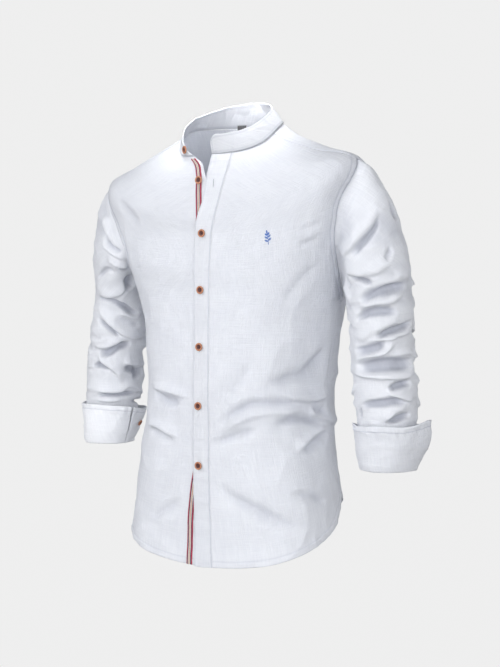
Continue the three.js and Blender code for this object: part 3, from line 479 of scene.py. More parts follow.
def shape_body(P, N, calm=None):
    """The body's cloth: its plain surface with the folds and the rumples."""
    s = P.shape
    p, n = flatten(P), flatten(N)
    D = fold_shift(p, n, FOLDS["body"], 0.34, 1.5, True)
    # the left shoulder stands up a little at its end, the right one drops
    top = smooth((p[:, 2] + 100) / 45)
    D += n * (top * (7.0 * np.exp(-(((p[:, 0] - 205) / 50) ** 2)) - 2.0 * np.exp(-(((p[:, 0] - 105) / 28) ** 2)) - 5.0 * np.exp(-(((p[:, 0] + 200) / 40) ** 2))))[:, None]
    amount = 0.55 + 0.35 * smooth((-300 - p[:, 2]) / 150)
    # the fronts by the opening and the neck lie calmer
    middle = np.exp(-((p[:, 0] / 45.0) ** 2)) * (p[:, 1] < 0)
    amount *= 1 - 0.55 * middle
    amount *= 1 - 0.6 * smooth((p[:, 2] + 75) / 60)
    D += n * (rumple(p, 1.0, (1, 1, 0.62), 4.2) * amount)[:, None]
    edge_pull = 0.0 if calm is None else calm.reshape(-1, 1)
    D = D * (1 - edge_pull)
    return (p + D).reshape(s)


def grid_normals(P, closed=False):
    if closed:
        du = np.roll(P, -1, axis=1) - np.roll(P, 1, axis=1)
    else:
        du = np.gradient(P, axis=1)
    dv = np.gradient(P, axis=0)
    return unit(np.cross(du, dv))


def outward_from(N, P, centre):
    way = P - np.array(centre, float)
    way[..., 2] *= 0.0
    if np.median(np.sum(N * way, -1)) < 0:
        N = -N
    return N


# ---------------------------------------------------------------- meshes
def spaced(n, fine=0.0, ends=(True, True), share=0.12):
    """0 to 1 in n steps, closer together at the ends."""
    w = np.linspace(0, 1, n + 1)
    if not fine:
        return w
    dens = np.ones(2001)
    s = np.linspace(0, 1, 2001)
    if ends[0]:
        dens += fine * np.exp(-((s / share) ** 2))
    if ends[1]:
        dens += fine * np.exp(-(((1 - s) / share) ** 2))
    c = np.concatenate([[0], np.cumsum((dens[1:] + dens[:-1]) / 2)])
    c /= c[-1]
    return np.interp(w, c, s)


def shell(name, P, N, outer, inner, closed=False, uv=None, attrs=None):
    """A thin two-sided cloth from a grid: its outer side at offset outer, its inner side at offset inner, in mm along N."""
    nr, nc = P.shape[:2]
    outer = np.broadcast_to(np.asarray(outer, float), (nr, nc))[..., None]
    inner = np.broadcast_to(np.asarray(inner, float), (nr, nc))[..., None]
    verts = np.concatenate([flatten(P + N * outer), flatten(P + N * inner)]) / 1000.0
    ids = np.arange(nr * nc).reshape(nr, nc)
    ring = np.concatenate([ids, ids[:, :1]], axis=1) if closed else ids
    a, b, c, d = ring[:-1, :-1].ravel(), ring[:-1, 1:].ravel(), ring[1:, 1:].ravel(), ring[1:, :-1].ravel()
    m = nr * nc
    quads = [np.stack([a, b, c, d], 1), np.stack([a + m, d + m, c + m, b + m], 1)]
    quads.append(np.stack([ring[0, 1:], ring[0, :-1], ring[0, :-1] + m, ring[0, 1:] + m], 1))
    quads.append(np.stack([ring[-1, :-1], ring[-1, 1:], ring[-1, 1:] + m, ring[-1, :-1] + m], 1))
    if not closed:
        quads.append(np.stack([ids[:-1, 0], ids[1:, 0], ids[1:, 0] + m, ids[:-1, 0] + m], 1))
        quads.append(np.stack([ids[1:, -1], ids[:-1, -1], ids[:-1, -1] + m, ids[1:, -1] + m], 1))
    faces = np.concatenate(quads)
    # turn the faces out where the grid runs the other way
    fa = verts[faces[: len(a)]]
    face_n = np.cross(fa[:, 1] - fa[:, 0], fa[:, 3] - fa[:, 0])
    if np.sum(np.sum(face_n * flatten(N)[faces[: len(a), 0]], -1)) < 0:
        faces = faces[:, ::-1]
    me = bpy.data.meshes.new(name)
    me.from_pydata(verts.tolist(), [], faces.tolist())
    me.polygons.foreach_set("use_smooth", np.ones(len(faces), bool))
    if uv is None:
        uv = cloth_uv(P, closed)
    flat_uv = np.concatenate([uv.reshape(-1, 2)] * 2)
    layer = me.uv_layers.new(name="cloth")
    loops = np.empty(len(me.loops), np.int32)
    me.loops.foreach_get("vertex_index", loops)
    layer.data.foreach_set("uv", flat_uv[loops].astype(np.float32).ravel())
    for key, values in (attrs or {}).items():
        at = me.attributes.new(key, "FLOAT", "POINT")
        at.data.foreach_set("value", np.concatenate([np.broadcast_to(values, (nr, nc)).ravel()] * 2).astype(np.float32))
    me.update()
    ob = bpy.data.objects.new(name, me)
    bpy.context.scene.collection.objects.link(ob)
    return ob


def cloth_uv(P, closed=False):
    """Flat cloth coordinates in metres, from the arc lengths of the grid."""
    du = np.linalg.norm(np.diff(P, axis=1), axis=-1)
    u = np.concatenate([np.zeros((len(P), 1)), np.cumsum(du, axis=1)], axis=1)
    u -= u[:, u.shape[1] // 2 : u.shape[1] // 2 + 1]
    dv = np.linalg.norm(np.diff(P, axis=0), axis=-1)
    v = np.concatenate([np.zeros((1, P.shape[1])), np.cumsum(dv, axis=0)], axis=0)
    v = np.broadcast_to(v.mean(axis=1, keepdims=True), u.shape)
    return np.stack([u, v], -1) / 1000.0


def finish_piece(ob, material, node=None):
    ob.data.materials.clear()
    ob.data.materials.append(material)
    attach(ob, "root")
    if node:
        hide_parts(node)
    return ob


def area_of(P):
    a = P[1:, 1:] - P[:-1, :-1]
    b = P[1:, :-1] - P[:-1, 1:]
    return float(np.linalg.norm(np.cross(a, b), axis=-1).sum() / 2 / 1e6)


# ---------------------------------------------------------------- materials
def nodes_of(name):
    m = bpy.data.materials.new(name)
    m.use_nodes = True
    nt = m.node_tree
    return m, nt, nt.nodes["Principled BSDF"]


def add(nt, kind, **values):
    n = nt.nodes.new(kind)
    for key, v in values.items():
        if key in n.inputs:
            n.inputs[key].default_value = v
        else:
            setattr(n, key, v)
    return n


def cloth_material(name, base, warm, depth=0.35, weave=1500.0, through=0.0):
    """Linen-like cloth: a plain weave, thicker slub yarns along both threads, a soft sheen and slightly uneven whiteness."""
    m, nt, bsdf = nodes_of(name)
    L = nt.links.new
    uv = add(nt, "ShaderNodeUVMap", uv_map="cloth")

    def stretched(scale, detail, rough=0.6):
        mp = add(nt, "ShaderNodeMapping")
        mp.inputs["Scale"].default_value = scale
        L(uv.outputs["UV"], mp.inputs["Vector"])
        no = add(nt, "ShaderNodeTexNoise", Scale=1.0, Detail=detail, Roughness=rough)
        L(mp.outputs["Vector"], no.inputs["Vector"])
        return no.outputs["Fac"]

    warp = stretched((640.0, 26.0, 1.0), 2.0)   # vertical slubs
    weft = stretched((23.0, 700.0, 1.0), 2.0)  # horizontal slubs
    cloud = stretched((22.0, 22.0, 1.0), 3.0)
    wv = add(nt, "ShaderNodeTexWave", wave_type="BANDS", bands_direction="X", Scale=weave / 6.2832, Distortion=1.2, Detail=1.0)
    wh = add(nt, "ShaderNodeTexWave", wave_type="BANDS", bands_direction="Y", Scale=weave / 6.2832, Distortion=1.2, Detail=1.0)
    L(uv.outputs["UV"], wv.inputs["Vector"])
    L(uv.outputs["UV"], wh.inputs["Vector"])

    def math_node(op, a, b):
        n = add(nt, "ShaderNodeMath", operation=op)
        for i, v in enumerate((a, b)):
            if isinstance(v, (int, float)):
                n.inputs[i].default_value = v
            else:
                L(v, n.inputs[i])
        return n.outputs[0]

    slub = math_node("ADD", math_node("MULTIPLY", math_node("POWER", warp, 3.0), 2.9), math_node("MULTIPLY", math_node("POWER", weft, 3.0), 2.0))
    weave_h = math_node("MULTIPLY", math_node("ADD", wv.outputs["Fac"], wh.outputs["Fac"]), 0.35)
    height = math_node("ADD", slub, weave_h)
    ramp = add(nt, "ShaderNodeValToRGB")
    ramp.color_ramp.elements[0].position = 0.25
    ramp.color_ramp.elements[0].color = (*warm, 1)
    ramp.color_ramp.elements[1].position = 0.95
    ramp.color_ramp.elements[1].color = (*base, 1)
    tone = math_node("ADD", math_node("MULTIPLY", slub, 0.55), math_node("MULTIPLY", cloud, 0.7))
    L(tone, ramp.inputs["Fac"])
    # painted shade: where the mesh's shade attribute says so, the colour is darkened towards grey-blue, along seams and
    # stitched rows and in the bottoms of deep folds
    painted_shade = add(nt, "ShaderNodeAttribute", attribute_name="painted_shade")
    shade = add(nt, "ShaderNodeMix", data_type="RGBA", blend_type="MULTIPLY")
    L(painted_shade.outputs["Fac"], shade.inputs[0])
    L(ramp.outputs["Color"], shade.inputs[6])
    shade.inputs[7].default_value = (0.70, 0.71, 0.75, 1)
    colour = shade.outputs[2]
    L(colour, bsdf.inputs["Base Color"])
    bump = add(nt, "ShaderNodeBump", Strength=depth, Distance=0.0007)
    L(height, bump.inputs["Height"])
    L(bump.outputs["Normal"], bsdf.inputs["Normal"])
    rr = add(nt, "ShaderNodeMapRange")
    rr.inputs["To Min"].default_value = 0.82
    rr.inputs["To Max"].default_value = 0.96
    L(cloud, rr.inputs["Value"])
    L(rr.outputs["Result"], bsdf.inputs["Roughness"])
    bsdf.inputs["Sheen Weight"].default_value = 0.12
    bsdf.inputs["Sheen Roughness"].default_value = 0.5
    bsdf.inputs["Specular IOR Level"].default_value = 0.25
    if through:
        # thin cloth: some of the light comes through it
        passing = add(nt, "ShaderNodeBsdfTranslucent")
        both = add(nt, "ShaderNodeMixShader")
        both.inputs[0].default_value = through
        L(colour, passing.inputs["Color"])
        L(bump.outputs["Normal"], passing.inputs["Normal"])
        L(bsdf.outputs[0], both.inputs[1])
        L(passing.outputs[0], both.inputs[2])
        L(both.outputs[0], nt.nodes["Material Output"].inputs["Surface"])
    return m


WHITE = (0.905, 0.922, 0.962)
WHITE_LOW = (0.815, 0.832, 0.885)
cloth = cloth_material("white_slub_cloth", WHITE, WHITE_LOW, 0.7, through=0.37)
sleeve_cloth = cloth_material("white_slub_cloth_sleeve", WHITE, WHITE_LOW, 0.7, through=0.29)
# the collar's cloth is a darker copy of the white cloth: painted shade for the collar band
collar_cloth_shaded = cloth_material("white_slub_cloth_collar_shaded", (0.85, 0.866, 0.905), (0.762, 0.778, 0.83), 0.8, through=0.3)
double_cloth = cloth_material("white_slub_cloth_double", WHITE, WHITE_LOW, 0.7, through=0.08)
thread_mat = cloth_material("white_thread", (0.84, 0.86, 0.91), (0.76, 0.78, 0.84), 0.2, 4000.0)


# ---------------------------------------------------------------- body panels
def edge_t(side):
    """The seam-side angle of the fronts and of the back at ring t: side seam, armhole, shoulder seam."""
    k = np.linspace(0, 12, 600)
    t, front = armhole(side, k)
    _, back = armhole(side, 24 - k)
    order = np.argsort(t)
    t, front, back = t[order], front[order], back[order]

    def at(ts, which):
        ts = np.asarray(ts, float)
        low = side * curve(SIDE_SEAM, "t", "angle", ts)
        high = side * curve(SHOULDER_SEAM, "t", "angle", ts)
        arm = np.interp(ts, t, front if which == "front" else back)
        return np.where(ts < -262, low, np.where(ts > -97, high, arm))

    return at


EDGES = {1: edge_t(1), -1: edge_t(-1)}
LOW = np.concatenate([
    -700 + (200) * spaced(62, 3.0, (True, False), 0.08),
    np.linspace(-500, -262, 72)[1:],
])
MID = np.linspace(-262, -97, 66)[1:]
TOP = -97 + 97 * spaced(46, 1.5, (False, True), 0.1)[1:]
T_ROWS = np.concatenate([LOW, MID, TOP])

seam_lines = {}


def panel(angles, ts):
    T = hem_shift(ts, angles)
    P, N = body(angles, T), body_normal(angles, T)
    return P, N, T


def front_grid(side, first_x, columns, fine=2.5):
    A0 = angle_at_x(first_x, T_ROWS)
    A1 = EDGES[side](T_ROWS, "front")
    w = spaced(columns, fine, (True, True), 0.06)
    return mix(A0[:, None], A1[:, None], w[None, :]), np.broadcast_to(T_ROWS[:, None], (len(T_ROWS), columns + 1))


def stitched_line_shade(P, lines, half=1.15):
    """Painted shade along sewn lines and rows of stitches: how near each point is to such a line, 1 on it, 0 away from
    it.
    """
    q = flatten(P)
    out = np.zeros(len(q))
    for line, offsets in lines:
        near = np.nonzero(np.all((q > line.min(0) - 16) & (q < line.max(0) + 16), axis=1))[0]
        if not len(near):
            continue
        d = nearest(q[near], line)[0]
        for at, deep in offsets:
            out[near] = np.maximum(out[near], deep * np.exp(-(((d - at) / half) ** 2)))
    return out.reshape(P.shape[:2])


def band_relief(P, lines):
    """Where seams are felled or hemmed the cloth is doubled: thicker within the band's width, with a soft step."""
    q = flatten(P)
    up = np.zeros(len(q))
    for line, width, thick in lines:
        near = np.nonzero(np.all((q > line.min(0) - 14) & (q < line.max(0) + 14), axis=1))[0]
        if not len(near):
            continue
        d = nearest(q[near], line)[0]
        up[near] = np.maximum(up[near], thick * smooth((width + 0.6 - d) / 1.2))
    return up.reshape(P.shape[:2])


def body_line(angles, ts):
    return body(angles, ts)


def hem_line(a0, a1, n=160):
    A = np.linspace(a0, a1, n)
    return body(A, curve(HEM, "angle", "z", np.abs(signed(A))))


def armhole_line(side, k0=0, k1=24, n=200):
    k = np.linspace(k0, k1, n)
    t, a = armhole(side, k)
    return body(a, t)


def shoulder_line(side):
    t = np.linspace(-97, 0, 50)
    return body(side * curve(SHOULDER_SEAM, "t", "angle", t), t)


def side_line(side):
    t = np.linspace(-700, -262, 160)
    a = side * curve(SIDE_SEAM, "t", "angle", t)
    return body(a, hem_shift(t, a))


LINES = {
    "arm1": armhole_line(1), "arm-1": armhole_line(-1), "sh1": shoulder_line(1), "sh-1": shoulder_line(-1),
    "side1": side_line(1), "side-1": side_line(-1), "hem": hem_line(-180, 180, 400),
}
# pucker: short ripples across hems and felled seams
def pucker(P, lines, reach=12.0):
    q = flatten(P)
    out = np.zeros(len(q))
    for k, (line, amp, pitch) in enumerate(lines):
        near = np.nonzero(np.all((q > line.min(0) - reach * 2) & (q < line.max(0) + reach * 2), axis=1))[0]
        if not len(near):
            continue
        d, along, *_ = nearest(q[near], line)
        wave = np.sin(along / pitch * 6.283 + 1.3 * np.sin(along / 31.0) + 2.0 * np.sin(along / 77.0 + k)) * (0.6 + 0.4 * np.sin(along / 23.0 + k))
        out[near] += amp * wave * np.exp(-((d / reach) ** 2))
    return out.reshape(P.shape[:2])


def build_panel(name, side, P0, N0, lines, drop=0.0, thickness=1.0, puckers=(), node=None):
    P = shape_body(P0, N0)
    P = P + N0 * pucker(P0, puckers)[..., None]
    N = outward_from(grid_normals(P), P, (0, 30, 0))
    up = band_relief(P0, lines)
    # painted shade along each seam line and along the edge of its doubled band
    shade_paint_map = stitched_line_shade(P0, [(line, ((0.0, 1.0 if thick > 0.95 else 0.35), (width + 0.6, 0.8 if thick > 0.95 else 0.4 if thick > 0.3 else 0.12))) for line, width, thick in lines])
    # painted shade in the bottoms of the folds, where less light reaches
    depth = np.clip(-np.sum((P - P0) * N0, -1) - 2.0, 0, 8) / 8 * (1 - smooth((P0[..., 2] + 150) / 60))
    shade_paint_map = np.maximum(shade_paint_map, 0.55 * depth)
    ob = shell(name, P, N, up - drop, -thickness - np.asarray(drop) * 1.0, attrs={"painted_shade": shade_paint_map})
    finish_piece(ob, cloth, node)
    return ob, P, N


def right_drop(P):
    return 2.8 * smooth((P[..., 0] + 85) / 45)


def line_x(tab, shift=0.0):
    return lambda t: curve(tab, "t", "x", t) + shift


hem_pucker = (LINES["hem"], 0.55, 15.0)
# left front
A, T = front_grid(1, line_x(LEFT_EDGE)(T_ROWS), 84)
P0, N0, _ = panel(A, T)
left_front, LP, LN = build_panel(
    "cloth_front_left", 1, P0, N0,
    [(LINES["arm1"], 8.0, 1.1), (LINES["side1"], 7.0, 0.2), (LINES["hem"], 9.0, 0.6)],
    puckers=[hem_pucker, (LINES["arm1"], 0.35, 13.0)], node="front_left")
# right front
A, T = front_grid(-1, line_x(RIGHT_EDGE)(T_ROWS), 84)
P0, N0, _ = panel(A, T)
right_front, RP, RN = build_panel(
    "cloth_front_right", -1, P0, N0,
    [(LINES["arm-1"], 8.0, 1.1), (LINES["side-1"], 7.0, 0.2), (LINES["hem"], 9.0, 0.6)],
    drop=right_drop(P0), puckers=[hem_pucker, (LINES["arm-1"], 0.35, 13.0)], node="front_right")
# back
w = spaced(150, 2.0, (True, True), 0.03)
A0, A1 = EDGES[1](T_ROWS, "back"), 360 + EDGES[-1](T_ROWS, "back")
A = mix(A0[:, None], A1[:, None], w[None, :])
P0, N0, _ = panel(A, np.broadcast_to(T_ROWS[:, None], A.shape))
back, BP, BN = build_panel(
    "cloth_back", 0, P0, N0,
    [(LINES["arm1"], 8.0, 1.1), (LINES["arm-1"], 8.0, 1.1), (LINES["sh1"], 8.5, 0.8), (LINES["sh-1"], 8.5, 0.8), (LINES["hem"], 9.0, 0.6)],
    puckers=[hem_pucker, (LINES["arm1"], 0.35, 13.0), (LINES["arm-1"], 0.35, 13.0)], node="back")


# ---------------------------------------------------------------- sleeves
def sleeve_grid(side, psi, v):
    P = sleeve_surface(side, psi, v)
    return P


def build_sleeve(side, name, node):
    psi = np.linspace(90, -270, 191)[:-1]
    v = np.concatenate([spaced(66, 1.5, (True, False), 0.08), 1 + spaced(104)[1:]])
    PSI, Vv = np.meshgrid(psi, v)
    P = sleeve_surface(side, PSI, Vv)
    N = grid_normals(P, True)
    cx = np.interp(P[..., 2], SLEEVE[side]["z"], side * SLEEVE[side]["x"])
    centre = np.stack([np.where(P[..., 2] > -262, side * 190.0, cx), np.full(cx.shape, 30.0), np.minimum(P[..., 2], -200.0) ], -1)
    if np.median(np.sum(N * (P - centre), -1)) < 0:
        N = -N
    # the first row follows the body's own folds
    p, n = flatten(P), flatten(N)
    D = fold_shift(p, n, FOLDS[side], 0.5, 1.42)
    # no fold stands out more than a few millimetres past the sleeve's outline
    out = np.sum(D * n, -1)
    D -= n * (out - np.where(out > 0, 7.0 * np.tanh(out / 7.0), 21 * np.tanh(out / 21)))[:, None]
    squeeze = (0.75, 0.75, 1.25)
    outer_side = np.clip(side * n[:, 0], 0, 1)
    D -= n * (5.0 * np.exp(-(((p[:, 2] + 252) / 42) ** 2)) * outer_side)[:, None]
    if side > 0:
        D += n * (9.0 * np.exp(-(((p[:, 2] + 50) / 27) ** 2)) - 3.8 * np.exp(-(((p[:, 2] + 160) / 34) ** 2)))[:, None]
    else:
        D -= n * (9.0 * np.exp(-(((p[:, 2] + 48) / 28) ** 2)) + 3.5 * np.exp(-(((p[:, 2] + 150) / 38) ** 2)))[:, None]
    D += n * (rumple(p, 1.0, squeeze, 11.0 + side) * 0.85 - 1.0)[:, None]
    ease = (smooth(Vv / 0.10) * smooth((2 - Vv) / 0.12)).reshape(-1, 1)
    start = shape_body(P[:1], body_normal(armhole(side, (90 - psi) / 15)[1], armhole(side, (90 - psi) / 15)[0])[None])[0] - P[0]
    fade = (1 - smooth(Vv / 0.22))[..., None]
    P2 = (p + D * ease).reshape(P.shape) + start[None] * fade
    # tucked under the armhole's felled edge
    P2[0] -= body_normal(armhole(side, (90 - psi) / 15)[1], armhole(side, (90 - psi) / 15)[0]) * 0.7
    N2 = grid_normals(P2, True)
    if np.sum(np.sum(N2 * N, -1)) < 0:
        N2 = -N2
    # painted shade: a dark line along the armhole seam, and darkening in the bottoms of the deep folds, where less
    # light reaches
    depth = np.clip(-np.sum(D * n, -1) - 2.8, 0, 8).reshape(Vv.shape) / 8 * smooth(Vv / 0.15)
    painted_shading = np.maximum(np.exp(-(((np.broadcast_to(Vv, Vv.shape)) / 0.011) ** 2)), 1.0 * depth ** 0.85)
    ob = shell(name, P2, N2, 0.0, -1.0, closed=True, attrs={"painted_shade": painted_shading})
    finish_piece(ob, sleeve_cloth, node)
    return ob, P2, N2


sleeve_left, SLP, SLN = build_sleeve(1, "cloth_sleeve_left", "sleeve_left")
sleeve_right, SRP, SRN = build_sleeve(-1, "cloth_sleeve_right", "sleeve_right")


# ---------------------------------------------------------------- cuffs
def build_cuff(side, name, node):
    cuff = CUFF[side]
    rows = cuff["rows"]
    n = len(rows["z"])
    s = np.concatenate([[0, 0.08, 0.16, 0.23, 0.27, 0.30, 0.33, 0.36, 0.39, 0.42, 0.47, 0.57, 0.71, 0.86], np.linspace(1, 2, 8)[:-1], np.linspace(2, 3, 8)[:-1], np.linspace(3, 6, 16)])
    idx = {"i": np.arange(float(n)), **{k: rows[k] for k in ("z", "x", "y", "radius")}}
    g = {k: curve(idx, "i", k, s) for k in ("z", "x", "y", "radius")}
    half = mix(cuff["open"] * (0.55 if side < 0 else 1.0), 0.55, np.clip(s / 3, 0, 1))
    w = spaced(150, 2.5, (True, True), 0.03)
    PSI = cuff["slit"] + half[:, None] + (360 - 2 * half[:, None]) * w[None, :]
    p = np.radians(PSI)
    P = np.stack([side * (g["x"][:, None] + g["radius"][:, None] * np.sin(p)), g["y"][:, None] - g["radius"][:, None] * np.cos(p),
                  np.broadcast_to(g["z"][:, None], p.shape)], -1)
    N = grid_normals(P)
    centre = np.array([side * 265.0, 30, 0])
    way = P - centre
    way[..., 2] = 0
    flip = np.sum((N * way)[:10].sum(-1)) < 0
    if flip:
        N = -N
    outer = np.clip(1 - s / 3.2, 0, 1)[:, None]
    q = flatten(P)
    wav = (noise3(q, 40.0, 5.0 + side, 2) * 2.6 + noise3(q, 15.0, 8.0 + side, 1) * 0.8 + (creases(q, 27.0, 3.0 + side, (0.7, 0.7, 1.6)) - 0.35) * 1.5).reshape(p.shape)
    # the hem draws the edge into small puckers
    wav = wav + 0.75 * np.sin(w[None, :] * 150 + 2 * np.sin(w[None, :] * 37)) * np.exp(-(((s - 0.36) / 0.35) ** 2))[:, None]
    P = P + N * (wav * (0.35 + 0.65 * outer))[..., None]
    # the flap's top edge dips and rises a little
    lift = 0.7 * np.sin(np.radians(PSI) * 5 + 1.0)
    if side > 0:
        turn = (PSI - 118.0 + 180) % 360 - 180
        face = (PSI + 180) % 360 - 180
        lift = lift + 6.5 * smooth((face - 35) / 68) - 12.0 * smooth((face - 112) / 42) - 1.0 * np.exp(-(((face + 58) / 32) ** 2)) - 5.0 * smooth((-face - 66) / 36)
        P = P - N * (3.0 * np.exp(-((turn / 44.0) ** 2)) * np.exp(-((s / 0.7) ** 2))[:, None])[..., None]
        # fuller a third of the way down at its outer side
        P = P + N * (7.6 * np.exp(-((turn / 42.0) ** 2)) * np.where(s < 1.25, np.exp(-(((s - 1.25) / 0.85) ** 2)), 1 - smooth((s - 1.25) / 1.9))[:, None])[..., None]
    else:
        turn = (PSI + 122.0 + 180) % 360 - 180
        P = P - N * (3.2 * np.exp(-((turn / 42.0) ** 2)) * np.exp(-(((s - 2.8) / 1.7) ** 2))[:, None])[..., None]
        face = (PSI + 180) % 360 - 180
        lift = lift - 8.5 * smooth((-face - 15) / 95)
    P[..., 2] += lift * outer
    N2 = grid_normals(P)
    if np.sum(np.sum(N2 * N, -1)) < 0:
        N2 = -N2
    # a hemmed edge, stitched 7 mm below it, with painted shade along the stitched row
    hem = 0.5 * smooth((0.34 - s) / 0.06)[:, None] * np.ones_like(p)
    painted_shading = (np.exp(-(((s - 0.36) / 0.032) ** 2))[:, None] * 0.9 * np.ones_like(p))
    ob = shell(name, P, N2, 0.8 + hem, -0.8, attrs={"painted_shade": painted_shading})
    finish_piece(ob, sleeve_cloth if side > 0 else double_cloth, node)
    return ob, P, N2, s, w


cuff_left, CLP, CLN, CLS, CLW = build_cuff(1, "cloth_cuff_left", "cuff_left")
cuff_right, CRP, CRN, CRS, CRW = build_cuff(-1, "cloth_cuff_right", "cuff_right")


# ---------------------------------------------------------------- collar
def collar_grid(n_cols=230, n_rows=18):
    w = spaced(n_cols, 3.0, (True, True), 0.02)
    up = spaced(n_rows, 0.8, (True, True), 0.15)
    W, U = np.meshgrid(w, up)
    end = 360 + mix(-16.0, -50.0, U)
    ANG = mix(9.0, end, W)
    arc = np.minimum(W, 1 - W) * 460
    d = np.clip(16 - arc, 0, 16)
    cut = 16 - np.sqrt(np.maximum(0, 256 - d * d))
    P = collar_point(ANG, U * (1 - cut * 0.9 / 30))
    return P, W, U, ANG


P, CW, CU, CANG = collar_grid()
N = grid_normals(P)
way = P - np.array([0, -5, 0])
way[..., 2] = 5
if np.median(np.sum(N * way, -1)) < 0:
    N = -N
q = flatten(P)
soft = (noise3(q, 38.0, 21.0, 2) * 1.7 + noise3(q, 13.0, 23.0, 1) * 0.75 + (creases(q, 24.0, 27.0) - 0.35) * 2.1).reshape(CW.shape)
P = P + N * (soft * (0.35 + 0.65 * CU))[..., None]
CN = grid_normals(P)
if np.sum(np.sum(CN * N, -1)) < 0:
    CN = -CN
CP = P
# a two-layer band: fuller in the middle, pressed thin along its stitched edges
edge = np.minimum(CU * 30, np.minimum((1 - CU) * 30, np.minimum(CW, 1 - CW) * 460))
full = 0.85 + 0.4 * smooth((edge - 0.4) / 2.2) - 0.22 * np.exp(-(((edge - 3.0) / 0.9) ** 2))
# painted shade along the stitched rows and along the seam to the body, faded out towards one end of the band
painted_shading = np.maximum(0.8 * np.exp(-(((edge - 3.0) / 0.7) ** 2)), 0.9 * np.exp(-((CU * 30 / 1.2) ** 2)))
painted_shading = painted_shading * smooth(((1 - CW) * 460 - 25) / 60)
collar = shell("cloth_collar", CP, CN, full, -full, attrs={"painted_shade": painted_shading})
finish_piece(collar, collar_cloth_shaded, "collar")


# ---------------------------------------------------------------- placket and striped tape
def body_band(name, xs, ts, outer, inner, material, node, columns, drop=None, uv=None, shade_paint_map=None):
    """A band on a front between two lines of x, laid on the front's own surface."""
    w = spaced(columns, 1.2, (True, True), 0.1)
    X = mix(xs[0](ts)[:, None], xs[1](ts)[:, None], w[None, :])
    TT = np.broadcast_to(ts[:, None], X.shape)
    A = angle_at_x(X, TT)
    P0, N0, _ = panel(A, TT)
    P = shape_body(P0, N0)
    P = P + N0 * pucker(P0, [hem_pucker])[..., None]
    N = outward_from(grid_normals(P), P, (0, 30, 0))
    base = 0.0 if drop is None else -drop(P0)
    ob = shell(name, P, N, base + (outer(P0, w) if callable(outer) else outer), base + inner, uv=uv(P, w) if uv else None,
               attrs={"painted_shade": shade_paint_map(P0, w)} if shade_paint_map else None)
    finish_piece(ob, material, node)
    return ob, P, N


def placket_outer(P0, w):
    d = np.minimum(w, 1 - w)[None, :] * 33.0
    inner_side = w[None, :] > 0.5
    wide = 1.2 - np.where(inner_side, 0.9, 0.7) * (1 - smooth(d / np.where(inner_side, 2.4, 1.6)))
    z = P0[..., 2]
    much = 0.35 + 0.75 * np.exp(-(((z + 42) / 32) ** 2)) + 0.55 * smooth((-415 - z) / 40)
    ripple = 1.5 * much * noise3(flatten(P0), 9.0, 31.0, 1, (0.35, 0.35, 1.3)).reshape(P0.shape[:2])
    ripple = ripple * smooth(d / 4)
    hemmed = 0.5 * smooth((10 - (P0[..., 2] - curve(HEM, "angle", "z", np.zeros(1))[0])) / 1.5)
    return wide + ripple + hemmed


placket_rows = T_ROWS
# the placket gets painted shade along its inner stitched line and, fainter, along its folded edge
placket, PP, PN = body_band("cloth_placket", (line_x(LEFT_EDGE, -0.3), line_x(PLACKET_LINE)), placket_rows, placket_outer, 0.05,
                            cloth, "placket", 26,
                            shade_paint_map=lambda P0, w: np.maximum(np.exp(-(((1 - w) * 33.0 - 1.9) / 0.6) ** 2), 0.35 * np.exp(-((w * 33.0 - 1.8) / 0.8) ** 2))[None, :] + 0 * P0[..., 0])


# striped ribbon tape on the button stand
def tape_material():
    m, nt, bsdf = nodes_of("striped_ribbon")
    L = nt.links.new
    uv = add(nt, "ShaderNodeUVMap", uv_map="cloth")
    sep = add(nt, "ShaderNodeSeparateXYZ")
    L(uv.outputs["UV"], sep.inputs["Vector"])
    ramp = add(nt, "ShaderNodeValToRGB")
    ramp.color_ramp.interpolation = "CONSTANT"
    stripes = [
        (0.0, (0.38, 0.014, 0.055)), (0.19, (0.016, 0.016, 0.05)), (0.32, (0.62, 0.58, 0.54)), (0.43, (0.40, 0.20, 0.12)),
        (0.56, (0.62, 0.58, 0.54)), (0.68, (0.016, 0.016, 0.05)), (0.81, (0.38, 0.014, 0.055)),
    ]
    el = ramp.color_ramp.elements
    while len(el) > 1:
        el.remove(el[-1])
    el[0].position, el[0].color = stripes[0][0], (*stripes[0][1], 1)
    for pos, col in stripes[1:]:
        e = el.new(pos)
        e.color = (*col, 1)
    L(sep.outputs["X"], ramp.inputs["Fac"])
    rib = add(nt, "ShaderNodeTexWave", wave_type="BANDS", bands_direction="Y", Scale=1.0)
    mp = add(nt, "ShaderNodeMapping")
    mp.inputs["Scale"].default_value = (1.0, 1400.0 / 6.2832, 1.0)
    L(uv.outputs["UV"], mp.inputs["Vector"])
    L(mp.outputs["Vector"], rib.inputs["Vector"])
    no = add(nt, "ShaderNodeTexNoise", Scale=900.0, Detail=2.0)
    L(uv.outputs["UV"], no.inputs["Vector"])
    mul = add(nt, "ShaderNodeMix", data_type="RGBA", blend_type="MULTIPLY")
    mul.inputs[0].default_value = 0.3
    L(ramp.outputs["Color"], mul.inputs[6])
    rr = add(nt, "ShaderNodeValToRGB")
    rr.color_ramp.elements[0].color = (0.45, 0.45, 0.45, 1)
    rr.color_ramp.elements[1].color = (1, 1, 1, 1)
    L(no.outputs["Fac"], rr.inputs["Fac"])
    L(rr.outputs["Color"], mul.inputs[7])
    L(mul.outputs[2], bsdf.inputs["Base Color"])
    bump = add(nt, "ShaderNodeBump", Strength=0.5, Distance=0.0002)
    L(rib.outputs["Fac"], bump.inputs["Height"])
    L(bump.outputs["Normal"], bsdf.inputs["Normal"])
    bsdf.inputs["Roughness"].default_value = 0.7
    bsdf.inputs["Sheen Weight"].default_value = 0.1
    return m


